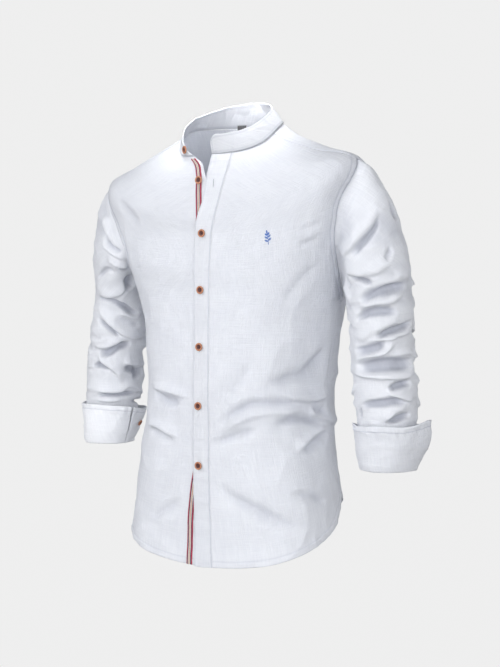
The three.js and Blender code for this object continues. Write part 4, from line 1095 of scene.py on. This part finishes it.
tape_mat = tape_material()
TAPE_HALF = 5.3
tape_ts = T_ROWS[T_ROWS <= -3.0]
tape_centre = lambda t: np.minimum(curve(TAPE_LINE, "t", "x", t), line_x(RIGHT_EDGE, -5)(t)) - 2.0 * smooth((np.asarray(t) + 200) / 60)
tape, TP, TN = body_band(
    "striped_tape", (lambda t: tape_centre(t) - TAPE_HALF, lambda t: tape_centre(t) + TAPE_HALF), tape_ts,
    lambda P0, w: 1.2 - 0.5 * (1 - smooth(np.minimum(w, 1 - w)[None, :] * 10.6 / 0.8)) + 0 * P0[..., 0], 0.15,
    tape_mat, "button_tape", 12, drop=right_drop,
    uv=lambda P, w: np.stack([np.broadcast_to(w[None, :], P.shape[:2]), cloth_uv(P)[..., 1]], -1))

# ---------------------------------------------------------------- label
label_mat, nt, bsdf = nodes_of("black_woven_label")
uvn = add(nt, "ShaderNodeTexCoord")
wv = add(nt, "ShaderNodeTexNoise", Scale=1800.0, Detail=2.0)
nt.links.new(uvn.outputs["Object"], wv.inputs["Vector"])
ramp = add(nt, "ShaderNodeValToRGB")
ramp.color_ramp.elements[0].color = (0.012, 0.012, 0.014, 1)
ramp.color_ramp.elements[1].color = (0.05, 0.05, 0.055, 1)
nt.links.new(wv.outputs["Fac"], ramp.inputs["Fac"])
nt.links.new(ramp.outputs["Color"], bsdf.inputs["Base Color"])
bump = add(nt, "ShaderNodeBump", Strength=0.4, Distance=0.0002)
nt.links.new(wv.outputs["Fac"], bump.inputs["Height"])
nt.links.new(bump.outputs["Normal"], bsdf.inputs["Normal"])
bsdf.inputs["Roughness"].default_value = 0.75
half = math.degrees(14 / 2 / 74)
aa = 196 + half * np.linspace(-1, 1, 9)
hh = np.linspace(0, 1, 8)
AA, HH = np.meshgrid(aa, hh)
base = collar_point(aa, np.full(9, 0.12))
inward = unit(-base * np.array([1, 1, 0]) - np.array([0, 3, 0]))
P = base[None] + inward[None] * 1.2 + np.array([0, 0, -1]) * (HH * 10)[..., None] + inward[None] * (0.5 * np.sin(HH * 3))[..., None]
label = shell("neck_label_cloth", P, np.broadcast_to(inward[None], P.shape), 1.3, 0.5)
finish_piece(label, label_mat, "neck_label")


# ---------------------------------------------------------------- buttons
def wood_material():
    m, nt, bsdf = nodes_of("brown_wood_button")
    L = nt.links.new
    co = add(nt, "ShaderNodeTexCoord")
    mp = add(nt, "ShaderNodeMapping")
    mp.inputs["Scale"].default_value = (260.0, 1500.0, 1500.0)
    L(co.outputs["Object"], mp.inputs["Vector"])
    grain = add(nt, "ShaderNodeTexNoise", Scale=1.0, Detail=4.0, Roughness=0.65)
    L(mp.outputs["Vector"], grain.inputs["Vector"])
    ramp = add(nt, "ShaderNodeValToRGB")
    ramp.color_ramp.elements[0].position, ramp.color_ramp.elements[0].color = 0.3, (0.22, 0.075, 0.04, 1)
    ramp.color_ramp.elements[1].position, ramp.color_ramp.elements[1].color = 0.75, (0.56, 0.29, 0.17, 1)
    L(grain.outputs["Fac"], ramp.inputs["Fac"])
    # darker in the dished middle
    at = add(nt, "ShaderNodeAttribute", attribute_name="rim")
    mixn = add(nt, "ShaderNodeMix", data_type="RGBA", blend_type="MULTIPLY")
    mixn.inputs[0].default_value = 1.0
    rim = add(nt, "ShaderNodeValToRGB")
    rim.color_ramp.elements[0].color = (0.26, 0.15, 0.20, 1)
    rim.color_ramp.elements[1].color = (1.15, 1.1, 1.05, 1)
    L(at.outputs["Fac"], rim.inputs["Fac"])
    L(ramp.outputs["Color"], mixn.inputs[6])
    L(rim.outputs["Color"], mixn.inputs[7])
    L(mixn.outputs[2], bsdf.inputs["Base Color"])
    bump = add(nt, "ShaderNodeBump", Strength=0.25, Distance=0.0002)
    L(grain.outputs["Fac"], bump.inputs["Height"])
    L(bump.outputs["Normal"], bsdf.inputs["Normal"])
    rr = add(nt, "ShaderNodeMapRange")
    rr.inputs["To Min"].default_value = 0.38
    rr.inputs["To Max"].default_value = 0.55
    L(grain.outputs["Fac"], rr.inputs["Value"])
    L(rr.outputs["Result"], bsdf.inputs["Roughness"])
    return m


wood = wood_material()
dark_thread, nt, bsdf = nodes_of("dark_button_thread")
tn = add(nt, "ShaderNodeTexNoise", Scale=2500.0, Detail=2.0)
tc = add(nt, "ShaderNodeTexCoord")
nt.links.new(tc.outputs["Object"], tn.inputs["Vector"])
ramp = add(nt, "ShaderNodeValToRGB")
ramp.color_ramp.elements[0].color = (0.02, 0.012, 0.014, 1)
ramp.color_ramp.elements[1].color = (0.09, 0.05, 0.05, 1)
nt.links.new(tn.outputs["Fac"], ramp.inputs["Fac"])
nt.links.new(ramp.outputs["Color"], bsdf.inputs["Base Color"])
bsdf.inputs["Roughness"].default_value = 0.8


def button_mesh(radius, height):
    """A turned four-hole button: rounded rim, dished middle, holes right through."""
    profile = [(0.80, 0.0), (0.94, 0.10), (1.0, 0.35), (1.0, 0.62), (0.965, 0.84), (0.90, 0.97), (0.81, 1.0), (0.73, 0.95), (0.665, 0.80), (0.60, 0.66), (0.55, 0.62)]
    n = 48
    verts, faces, rim = [], [], []
    for r, h in profile:
        for j in range(n):
            a = 2 * math.pi * j / n
            verts.append((r * radius * math.cos(a), r * radius * math.sin(a), h * height))
            rim.append(1.0 if r > 0.7 else smooth((r - 0.58) / 0.12) * 1.0)
    for i in range(len(profile) - 1):
        for j in range(n):
            k = (j + 1) % n
            faces.append((i * n + j, i * n + k, (i + 1) * n + k, (i + 1) * n + j))
    # the dished floor and the back, with four holes: each quarter is a ring from its hole out to the disc's edge
    hole_r, off = 0.115 * radius, 0.235 * radius
    centre_ids = {}
    for top, ring_row, z in ((True, len(profile) - 1, 0.62 * height), (False, 0, 0.0)):
        rr = (0.55 if top else 0.80) * radius
        ids = []
        for q in range(4):
            qa = math.pi / 4 + q * math.pi / 2
            cx, cy = off * math.cos(qa), off * math.sin(qa)
            m = 24
            hole, outer = [], []
            for j in range(m):
                a = 2 * math.pi * j / m + qa
                hole.append(len(verts))
                verts.append((cx + hole_r * math.cos(a), cy + hole_r * math.sin(a), z))
                rim.append(0.0)
            # outline of the quarter: the arc, then the two straight sides through the middle
            pts = []
            for j in range(13):
                a = qa - math.pi / 4 + (math.pi / 2) * j / 12
                pts.append((rr * math.cos(a), rr * math.sin(a)))
            a1 = qa + math.pi / 4
            for f in (0.66, 0.33):
                pts.append((rr * f * math.cos(a1), rr * f * math.sin(a1)))
            pts.append((0.0, 0.0))
            a0 = qa - math.pi / 4
            for f in (0.33, 0.66):
                pts.append((rr * f * math.cos(a0), rr * f * math.sin(a0)))
            # resample the outline by angle round the hole so that it pairs with the hole's points
            poly = np.array(pts)
            ang = np.arctan2(poly[:, 1] - cy, poly[:, 0] - cx)
            for j in range(m):
                a = 2 * math.pi * j / m + qa
                d = np.array([math.cos(a), math.sin(a)])
                best = None
                for e in range(len(poly)):
                    p0, p1 = poly[e], poly[(e + 1) % len(poly)]
                    M2 = np.array([[d[0], -(p1 - p0)[0]], [d[1], -(p1 - p0)[1]]])
                    det = np.linalg.det(M2)
                    if abs(det) < 1e-12:
                        continue
                    s_, u_ = np.linalg.solve(M2, p0 - np.array([cx, cy]))
                    if s_ > 0 and -1e-6 <= u_ <= 1 + 1e-6 and (best is None or s_ < best):
                        best = s_
                q_ = np.array([cx, cy]) + d * best
                outer.append(len(verts))
                verts.append((q_[0], q_[1], z))
                rim.append(0.0)
            for j in range(m):
                k = (j + 1) % m
                f = (hole[j], outer[j], outer[k], hole[k])
                faces.append(f if top else f[::-1])
            ids.append(hole)
        centre_ids[top] = ids
    for q in range(4):
        a, b = centre_ids[True][q], centre_ids[False][q]
        for j in range(len(a)):
            k = (j + 1) % len(a)
            faces.append((a[j], a[k], b[k], b[j]))
    return verts, faces, rim


def stitch_tube(p0, p1, radius, sides=6, arch=0.0, normal=None):
    """One thread of stitch from p0 to p1, arched along normal."""
    p0, p1 = np.array(p0, float), np.array(p1, float)
    steps = 4
    way = unit(p1 - p0)
    up = np.array([0, 0, 1.0]) if normal is None else unit(np.array(normal, float))
    sidew = unit(np.cross(way, up))
    upw = np.cross(sidew, way)
    verts, faces = [], []
    for i in range(steps + 1):
        s = i / steps
        r = radius * (0.35 + 0.65 * math.sin(math.pi * min(max(s, 0.08), 0.92)) ** 0.6)
        c = p0 + (p1 - p0) * s + up * arch * math.sin(math.pi * s)
        for j in range(sides):
            a = 2 * math.pi * j / sides
            verts.append(c + sidew * r * math.cos(a) + upw * r * math.sin(a))
    for i in range(steps):
        for j in range(sides):
            k = (j + 1) % sides
            faces.append((i * sides + j, i * sides + k, (i + 1) * sides + k, (i + 1) * sides + j))
    faces.append(tuple(range(sides))[::-1])
    faces.append(tuple(steps * sides + j for j in range(sides)))
    return verts, faces


def mesh_object(name, verts, faces, scale=0.001):
    me = bpy.data.meshes.new(name)
    me.from_pydata([tuple(float(c) * scale for c in v) for v in verts], [], faces)
    me.polygons.foreach_set("use_smooth", np.ones(len(faces), bool))
    me.update()
    ob = bpy.data.objects.new(name, me)
    bpy.context.scene.collection.objects.link(ob)
    return ob


def make_button(name, point, normal, radius, height, node, turn=0.0, tuft=True):
    """The button stands on its thread shank at point (mm); its threads cross the holes."""
    verts, faces, rim = button_mesh(radius, height)
    z = np.array([0, 0, 1.0])
    rot = Vector((0, 0, 1)).rotation_difference(Vector(normal)).to_matrix() @ Matrix.Rotation(turn, 3, "Z")
    R = np.array(rot)
    V3 = np.array(verts) @ R.T + np.array(point)
    ob = mesh_object(name, V3, faces)
    at = ob.data.attributes.new("rim", "FLOAT", "POINT")
    at.data.foreach_set("value", np.array(rim, np.float32))
    finish_piece(ob, wood, node)
    tv, tf = [], []
    off = 0.235 * radius
    hz = 0.62 * height
    hs = [(off * math.cos(math.pi / 4 + q * math.pi / 2), off * math.sin(math.pi / 4 + q * math.pi / 2)) for q in range(4)]
    for a, b in ((0, 1), (3, 2)):
        for shift in (-0.28, 0.0, 0.28):
            v, f = stitch_tube((hs[a][0] + shift * 0.5, hs[a][1] + shift, hz - 0.25), (hs[b][0] + shift * 0.5, hs[b][1] + shift, hz - 0.25), 0.22, 6, 0.55)
            tf += [tuple(i + len(tv) for i in g) for g in f]
            tv += v
    # shank under the button
    v, f = stitch_tube((0.3, 0, -1.4), (-0.2, 0, 0.2), 1.0, 10)
    tf += [tuple(i + len(tv) for i in g) for g in f]
    tv += v
    TV = np.array(tv) @ R.T + np.array(point)
    th = mesh_object(name + "_thread", TV, tf)
    finish_piece(th, dark_thread)
    return ob


def at_body(x, t):
    a = angle_at_x(np.array([x]), np.array([t]))
    P0, N0 = body(a, np.array([float(t)])), body_normal(a, np.array([float(t)]))
    return shape_body(P0[None], N0[None])[0, 0], N0[0]


for i, (t, x) in enumerate(FRONT_BUTTONS):
    p, n = at_body(x, t)
    make_button("front_button_%d" % (i + 3), p + n * 1.95, n, 6.3, 2.6, "button_%d" % (i + 3), 0.3 + i * 0.9)
p, n = at_body(-9.2, -41.2)
make_button("front_button_2", p + n * (-2.8 + 1.95), n, 6.3, 2.6, "button_2", 1.1)
i, j = np.unravel_index(np.argmin(np.linalg.norm(CP - collar_point(-30.0, 0.42), axis=-1)), CW.shape)
make_button("collar_button", CP[i, j] + CN[i, j] * 2.0, CN[i, j], 6.3, 2.6, "button_1", 0.5)
for side, name, node in ((1, "cuff_button_l", "cuff_button_left"), (-1, "cuff_button_r", "cuff_button_right")):
    lo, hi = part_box(node)
    c = np.array([(lo[k] + hi[k]) / 2 * 1000 for k in range(3)])
    PPc, NNc = (CLP, CLN) if side > 0 else (CRP, CRN)
    k = np.unravel_index(np.argmin(np.linalg.norm(PPc[:20] - c, axis=-1)), PPc[:20].shape[:2])
    make_button(name, PPc[k] + NNc[k] * 1.6, NNc[k], 5.2, 2.4, node, 0.7)


# ---------------------------------------------------------------- stitching: each stitch is a short thread lying on the cloth
def run_stitches(lines, name, length=2.6, pitch=3.5, radius=0.24, sink=0.05):
    verts, faces = [], []
    for P, N in lines:
        seg = np.linalg.norm(np.diff(P, axis=0), axis=1)
        s = np.concatenate([[0], np.cumsum(seg)])
        total = s[-1]
        starts = np.arange(pitch * 0.3, total - length, pitch)
        a = np.stack([np.interp(starts, s, P[:, k]) for k in range(3)], -1)
        b = np.stack([np.interp(starts + length, s, P[:, k]) for k in range(3)], -1)
        nn = np.stack([np.interp(starts + length / 2, s, N[:, k]) for k in range(3)], -1)
        nn = unit(nn)
        way = unit(b - a)
        sidew = unit(np.cross(way, nn))
        # a flattened six-sided spindle
        rings = [(0.0, 0.35), (0.2, 0.9), (0.5, 1.0), (0.8, 0.9), (1.0, 0.35)]
        base = len(verts)
        block = []
        for f, r in rings:
            c = a + (b - a) * f + nn * (radius * 0.6 * math.sin(math.pi * f) - sink)[..., None] if False else a + (b - a) * f + nn * (radius * 0.6 * math.sin(math.pi * f) - sink)
            for j in range(6):
                an = 2 * math.pi * j / 6
                block.append(c + sidew * (radius * r * math.cos(an)) + nn * (radius * r * math.sin(an)))
        block = np.stack(block, 1)  # stitches, 30, 3
        n = len(block)
        verts.extend(block.reshape(-1, 3).tolist())
        tmpl = []
        for i in range(4):
            for j in range(6):
                k = (j + 1) % 6
                tmpl.append((i * 6 + j, i * 6 + k, (i + 1) * 6 + k, (i + 1) * 6 + j))
        for q in range(n):
            o = base + q * 30
            faces.extend([(x0 + o, x1 + o, x2 + o, x3 + o) for x0, x1, x2, x3 in tmpl])
    ob = mesh_object(name, verts, faces)
    finish_piece(ob, thread_mat)
    return ob


def skin_line(angles, ts, lift):
    """A line on the body's cloth, raised by lift mm."""
    P0, N0 = body(angles, ts), body_normal(angles, ts)
    P = shape_body(P0[None], N0[None])[0]
    P = P + N0 * pucker(P0[None], [hem_pucker])[0][:, None]
    return P + N0 * np.asarray(lift)[..., None] if np.ndim(lift) else P + N0 * lift, N0


def beside(line_fn, inset, lift):
    """The line and its normals as given, with the direction across the line; inset and lift are not used."""
    P0, N0 = line_fn
    along = unit(np.gradient(P0, axis=0))
    across = unit(np.cross(along, N0))
    return P0, N0, across


body_lines, sleeve_lines = [], []
for side in (1, -1):
    k = np.linspace(0, 24, 300)
    t, a = armhole(side, k)
    P0, N0 = body(a, t), body_normal(a, t)
    along = unit(np.gradient(P0, axis=0))
    across = unit(np.cross(along, N0))
    mid = body(side * 91.0, -165.0) - P0
    across = np.where(np.sum(across * mid, -1, keepdims=True) < 0, -across, across)
    dr = right_drop(P0)[:, None] if side < 0 else 0.0
    front_half = (P0[:, 1] < 20)[:, None]
    for inset in (1.6, 7.0):
        Q = P0 - across * inset
        S = shape_body(Q[None], N0[None])[0] + N0 * pucker(Q[None], [(LINES["arm%d" % side], 0.35, 13.0)])[0][:, None]
        S = S + N0 * (0.75 - np.where(front_half, dr, 0.0))
        body_lines.append((S[3:-3], N0[3:-3]))
    # shoulder seam
    ts = np.linspace(-94, -2, 60)
    base_a = curve(SHOULDER_SEAM, "t", "angle", ts)
    for inset in (1.8, 7.6):
        P1 = body(side * base_a, ts)
        step = np.linalg.norm(body(side * (base_a + 1), ts) - P1, axis=-1)
        aa = side * (base_a + inset / step)
        body_lines.append(skin_line(aa, ts, 0.95))
    # side seam
    ts = np.linspace(-690, -268, 180)
    base_a = curve(SIDE_SEAM, "t", "angle", ts)
    P1 = body(side * base_a, hem_shift(ts, side * base_a))
    step = np.linalg.norm(body(side * (base_a - 1), hem_shift(ts, side * base_a)) - P1, axis=-1)
    for inset in (1.4, 6.2):
        aa = side * (base_a - inset / step)
        tt = hem_shift(ts, aa)
        body_lines.append(skin_line(aa, tt, 0.55 - (right_drop(body(aa, tt)) if side < 0 else 0.0)))
# hem, 7.5 mm above the edge, all round
for a0, a1, drop in ((12, 105, 0), (107.5, 252.5, 0), (-105, -8, 1)):
    aa = np.linspace(a0, a1, 260)
    z = curve(HEM, "angle", "z", np.abs(signed(aa))) 
    P1 = body(aa, z)
    slope = np.gradient(P1[:, 2]) / np.maximum(np.linalg.norm(np.gradient(P1, axis=0), axis=1), 1e-6)
    lift_z = 7.4 / np.sqrt(np.maximum(1 - slope**2, 0.2))
    tt = z + lift_z
    body_lines.append(skin_line(aa, tt, 0.65 - (right_drop(body(aa, tt)) if drop else 0.0)))
# placket: along its inner line and close to its edge
ts = T_ROWS[2:-2]
for shift, base_line in ((-2.6, PLACKET_LINE), (1.6, LEFT_EDGE)):
    x = curve(base_line, "t", "x", ts) + shift
    aa = angle_at_x(x, ts)
    body_lines.append(skin_line(aa, hem_shift(ts, aa), 1.15))
body_stitching = run_stitches(body_lines, "body_stitching")

# tape stitching in a dark thread along its edges
tape_lines = []
for sh in (-4.7, 4.7):
    x = tape_centre(tape_ts) + sh
    aa = angle_at_x(x, tape_ts)
    tt = hem_shift(tape_ts, aa)
    P1, n1 = skin_line(aa, tt, 1.2 - 2.8)
    tape_lines.append((P1, n1))
tape_stitching = run_stitches(tape_lines, "tape_stitching", radius=0.18)
tape_stitching.data.materials.clear()
tape_stitching.data.materials.append(tape_mat)
tape_stitching.data.uv_layers.new(name="cloth")

# collar and cuff stitching
lines = []
row = lambda P, N, i, off: (P[i] + N[i] * off, N[i])
i_top = int(np.argmin(np.abs(CU[:, 0] - 0.91)))
i_low = int(np.argmin(np.abs(CU[:, 0] - 0.08)))
for i in (i_top, i_low):
    Pq, Nq = row(CP, CN, i, 1.05)
    lines.append((Pq[12:-12], Nq[12:-12]))
j_l = int(np.argmin(np.abs(CW[0] - 3.2 / 460)))
j_r = int(np.argmin(np.abs(1 - CW[0] - 3.2 / 460)))
for j in (j_l, j_r):
    lines.append((CP[2:-3, j] + CN[2:-3, j] * 1.05, CN[2:-3, j]))
for Pc, Nc, Sc in ((CLP, CLN, CLS), (CRP, CRN, CRS)):
    i = int(np.argmin(np.abs(Sc - 0.33)))
    lines.append((Pc[i, 4:-4] + Nc[i, 4:-4] * 1.0, Nc[i, 4:-4]))
    rows_up = slice(1, 24)
    for j in (6, Pc.shape[1] - 7):
        lines.append((Pc[rows_up, j] + Nc[rows_up, j] * 0.9, Nc[rows_up, j]))
trim_stitching = run_stitches(lines, "trim_stitching")


# ---------------------------------------------------------------- buttonholes on the placket
def buttonhole(verts, faces, dark_v, dark_f, centre_fn, half_len):
    """Satin-stitched slot: centre_fn(du, dv) gives the point and the normal at du across and dv along."""
    n = 44
    loop = []
    for i in range(n):
        a = 2 * math.pi * i / n
        du = 1.05 * math.copysign(min(1.0, abs(math.cos(a)) * 1.6), math.cos(a))
        dv = half_len * math.sin(a)
        loop.append((du, dv))
    for du, dv in loop:
        k = 0.42
        p0, n0 = centre_fn(du * k, dv * (1 - 0.9 / half_len))
        p1, _ = centre_fn(du * 1.35, dv * (1 + 0.35 / half_len))
        v, f = stitch_tube(p0 + n0 * 0.25, p1 + n0 * 0.15, 0.26, 5, 0.22, n0)
        faces += [tuple(i + len(verts) for i in g) for g in f]
        verts += [tuple(q) for q in v]
    # the slit between the two rows: a dark grey strip, painted shade for the shadow in the cut
    p0, n0 = centre_fn(0.0, -half_len + 1.4)
    p1, _ = centre_fn(0.0, half_len - 1.4)
    v, f = stitch_tube(p0 + n0 * 0.12, p1 + n0 * 0.12, 0.5, 6, 0.0, n0)
    dark_f += [tuple(i + len(dark_v) for i in g) for g in f]
    dark_v += [tuple(q) for q in v]


def hole_on_placket(x0, t0, vertical=True):
    a0 = angle_at_x(np.array([x0]), np.array([t0]))[0]

    def at(du, dv):
        cx, ct = (x0 + du, t0 + dv) if vertical else (x0 + dv, t0 + du)
        a = angle_at_x(np.array([cx]), np.array([float(ct)]))
        P0, N0 = body(a, np.array([float(ct)])), body_normal(a, np.array([float(ct)]))
        return (shape_body(P0[None], N0[None])[0, 0] + N0[0] * 1.25), N0[0]

    return at


hv, hf, dv_, df_ = [], [], [], []
buttonhole(hv, hf, dv_, df_, hole_on_placket(19.5, -47.4), 7.4)
for t, x in FRONT_BUTTONS:
    buttonhole(hv, hf, dv_, df_, hole_on_placket(x, t - 1.0), 8.2)
hole_threads = mesh_object("buttonhole_threads", hv, hf)
finish_piece(hole_threads, thread_mat)
# the slits are dark grey strips: painted shade for the shadows in the cuts
slit_shade_strips = mesh_object("buttonhole_slit_shade", dv_, df_)
slit_shade_mat = cloth_material("slit_shade_paint", (0.36, 0.37, 0.40), (0.26, 0.27, 0.30))
finish_piece(slit_shade_strips, slit_shade_mat)


# ---------------------------------------------------------------- embroidered leaf sprig on the left chest
def blue_thread():
    m, nt, bsdf = nodes_of("blue_embroidery_thread")
    L = nt.links.new
    co = add(nt, "ShaderNodeTexCoord")
    no = add(nt, "ShaderNodeTexNoise", Scale=1500.0, Detail=2.0)
    L(co.outputs["Object"], no.inputs["Vector"])
    ramp = add(nt, "ShaderNodeValToRGB")
    ramp.color_ramp.elements[0].position, ramp.color_ramp.elements[0].color = 0.35, (0.05, 0.13, 0.42, 1)
    ramp.color_ramp.elements[1].position, ramp.color_ramp.elements[1].color = 0.7, (0.12, 0.26, 0.66, 1)
    L(no.outputs["Fac"], ramp.inputs["Fac"])
    L(ramp.outputs["Color"], bsdf.inputs["Base Color"])
    bsdf.inputs["Roughness"].default_value = 0.5
    bsdf.inputs["Sheen Weight"].default_value = 0.2
    return m


def sprig():
    verts, faces = [], []
    x0, t0 = 116.0, -160.0
    a0 = 26.8
    P1 = body(a0, t0)
    ex = unit(body(a0 + 1, t0) - body(a0 - 1, t0))
    n0 = body_normal(a0, t0)
    ez = unit(np.cross(ex, n0))
    if ez[2] < 0:
        ez = -ez
    def place(u, v):
        p0 = P1 + ex * u + ez * v
        q = shape_body(p0[None, None], n0[None, None])[0, 0]
        # lie on the body's true curve
        return q + n0 * (0.45 - (u * u + v * v) / 420.0)
    def stitch(u0, v0, u1, v1, r=0.26, arch=0.25):
        v, f = stitch_tube(place(u0, v0), place(u1, v1), r, 6, arch, n0)
        faces.extend([tuple(i + len(verts) for i in g) for g in f])
        verts.extend([tuple(q) for q in v])
    stem = [(-0.6, -10), (-0.3, -6.5), (0.1, -3), (0.2, 0.5), (0.0, 4), (-0.2, 7)]
    for (a, b), (c, d) in zip(stem[:-1], stem[1:]):
        for k in (-0.18, 0.18):
            stitch(a + k, b, c + k, d)
    for bx, by, ang, ln in ((-0.1, -5.5, 150, 6.2), (0.1, -4.0, 32, 6.2), (0.1, -0.8, 146, 6.0), (0.2, 0.6, 36, 6.0), (0.0, 3.6, 138, 5.0), (0.0, 4.4, 44, 5.0), (-0.2, 6.6, 90, 5.2)):
        ca, sa = math.cos(math.radians(ang)), math.sin(math.radians(ang))
        for i in range(12):
            s = (i + 0.5) / 12
            wd = 1.55 * math.sin(math.pi * s) ** 0.8 * (1.15 - 0.4 * s)
            mx, my = bx + ca * ln * s, by + sa * ln * s
            for sgn in (-1, 1):
                ox, oy = -sa * wd * sgn, ca * wd * sgn
                stitch(mx, my, mx + ox + ca * 0.5, my + oy + sa * 0.5, 0.24, 0.2)
    ob = mesh_object("leaf_sprig_embroidery", verts, faces)
    finish_piece(ob, blue_thread())
    return ob


sprig()

# ---------------------------------------------------------------- floor, backdrop, light, camera
def plain(name, colour, rough):
    m, nt, bsdf = nodes_of(name)
    no = add(nt, "ShaderNodeTexNoise", Scale=6.0, Detail=2.0)
    ramp = add(nt, "ShaderNodeValToRGB")
    ramp.color_ramp.elements[0].color = (*[c * 0.985 for c in colour], 1)
    ramp.color_ramp.elements[1].color = (*colour, 1)
    nt.links.new(no.outputs["Fac"], ramp.inputs["Fac"])
    nt.links.new(ramp.outputs["Color"], bsdf.inputs["Base Color"])
    bsdf.inputs["Roughness"].default_value = rough
    bsdf.inputs["Specular IOR Level"].default_value = 0.1
    return m


# The floor and the dome behind it are one even pale tone, as in a light tent. They only show, and don't light the shirt.
def lit(name, level):
    m, nt, bsdf = nodes_of(name)
    no = add(nt, "ShaderNodeTexNoise", Scale=3.0, Detail=1.0)
    ramp = add(nt, "ShaderNodeValToRGB")
    ramp.color_ramp.elements[0].color = (level * 0.995, level * 0.995, level * 0.995, 1)
    ramp.color_ramp.elements[1].color = (level, level, level, 1)
    nt.links.new(no.outputs["Fac"], ramp.inputs["Fac"])
    nt.links.new(ramp.outputs["Color"], bsdf.inputs["Emission Color"])
    bsdf.inputs["Emission Strength"].default_value = 1.0
    bsdf.inputs["Base Color"].default_value = (0, 0, 0, 1)
    bsdf.inputs["Specular IOR Level"].default_value = 0.0
    return m


pale = lit("pale_floor", 0.863)
R = 9.0
floor = mesh_object("floor", [(R * math.cos(a), R * math.sin(a), -1.1) for a in np.linspace(0, 2 * math.pi, 64, endpoint=False)], [tuple(range(64))], 1.0)
dome_v, dome_f = [], []
for i in range(17):
    e = -0.15 + (math.pi / 2 + 0.15) * i / 16
    for j in range(48):
        a = 2 * math.pi * j / 48
        dome_v.append((8.8 * math.cos(e) * math.cos(a), 8.8 * math.cos(e) * math.sin(a), 8.8 * math.sin(e)))
for i in range(16):
    for j in range(48):
        k = (j + 1) % 48
        dome_f.append((i * 48 + j, i * 48 + k, (i + 1) * 48 + k, (i + 1) * 48 + j))
dome = mesh_object("backdrop", dome_v, dome_f, 1.0)
for ob in (floor, dome):
    ob.data.materials.append(pale)
    ob.visible_diffuse = ob.visible_glossy = ob.visible_transmission = ob.visible_shadow = False

world = bpy.data.worlds.new("soft_studio")
bpy.context.scene.world = world
world.use_nodes = True
bg = world.node_tree.nodes["Background"]
bg.inputs["Color"].default_value = (0.97, 0.98, 1.0, 1)
bg.inputs["Strength"].default_value = 0.28


def area_light(name, loc, target, size, power, colour=(1, 1, 1)):
    d = bpy.data.lights.new(name, "AREA")
    d.shape, d.size, d.energy, d.color = "SQUARE", size, power, colour
    ob = bpy.data.objects.new(name, d)
    bpy.context.scene.collection.objects.link(ob)
    ob.location = loc
    ob.rotation_euler = (Vector(target) - Vector(loc)).to_track_quat("-Z", "Y").to_euler()
    return ob


AZ = math.radians(32.0)
area_light("key_light", (-1.7, -2.9, 2.7), (0, 0, -0.35), 1.9, 44)
area_light("front_left_light", (-1.7, -3.9, 1.1), (0, 0, -0.3), 2.2, 70)
area_light("fill_light", (3.0, -2.8, 0.0), (0, 0, -0.3), 2.0, 62)
area_light("right_light", (3.6, -1.6, 1.1), (0.1, 0, -0.3), 1.7, 18)
area_light("back_left_light", (2.4, 3.4, 0.9), (0, 0, -0.3), 2.2, 48)
area_light("back_right_light", (-2.6, 3.0, 0.5), (0, 0, -0.3), 2.2, 48)
area_light("low_front_light", (0.4, -3.6, -0.7), (0, 0, -0.3), 2.4, 58)
neck = area_light("neck_light", (-0.03, -0.16, 0.42), (0.0, 0.06, -0.03), 0.12, 0.36)
neck.data.spread = math.radians(42)

cam_data = bpy.data.cameras.new("camera")
cam = bpy.data.objects.new("camera", cam_data)
bpy.context.scene.collection.objects.link(cam)
cam_data.sensor_width, cam_data.lens, cam_data.sensor_fit = 36.0, 1240.0 / 667 * 36, "AUTO"
cam_data.dof.use_dof = False
cam_data.clip_start = 0.05
eps, pit = math.atan(18 / 1240), math.atan(41.5 / 1240)
d0 = Vector((-math.sin(AZ), math.cos(AZ), 0))
r0 = Vector((math.cos(AZ), math.sin(AZ), 0))
dd = d0 * math.cos(eps) + r0 * math.sin(eps)
forward = dd * math.cos(pit) - Vector((0, 0, math.sin(pit)))
cam.location = (2.0 * math.sin(AZ), -2.0 * math.cos(AZ), -0.255)
cam.rotation_euler = forward.to_track_quat("-Z", "Y").to_euler()
bpy.context.scene.camera = cam
bpy.context.scene.view_settings.view_transform = "Standard"
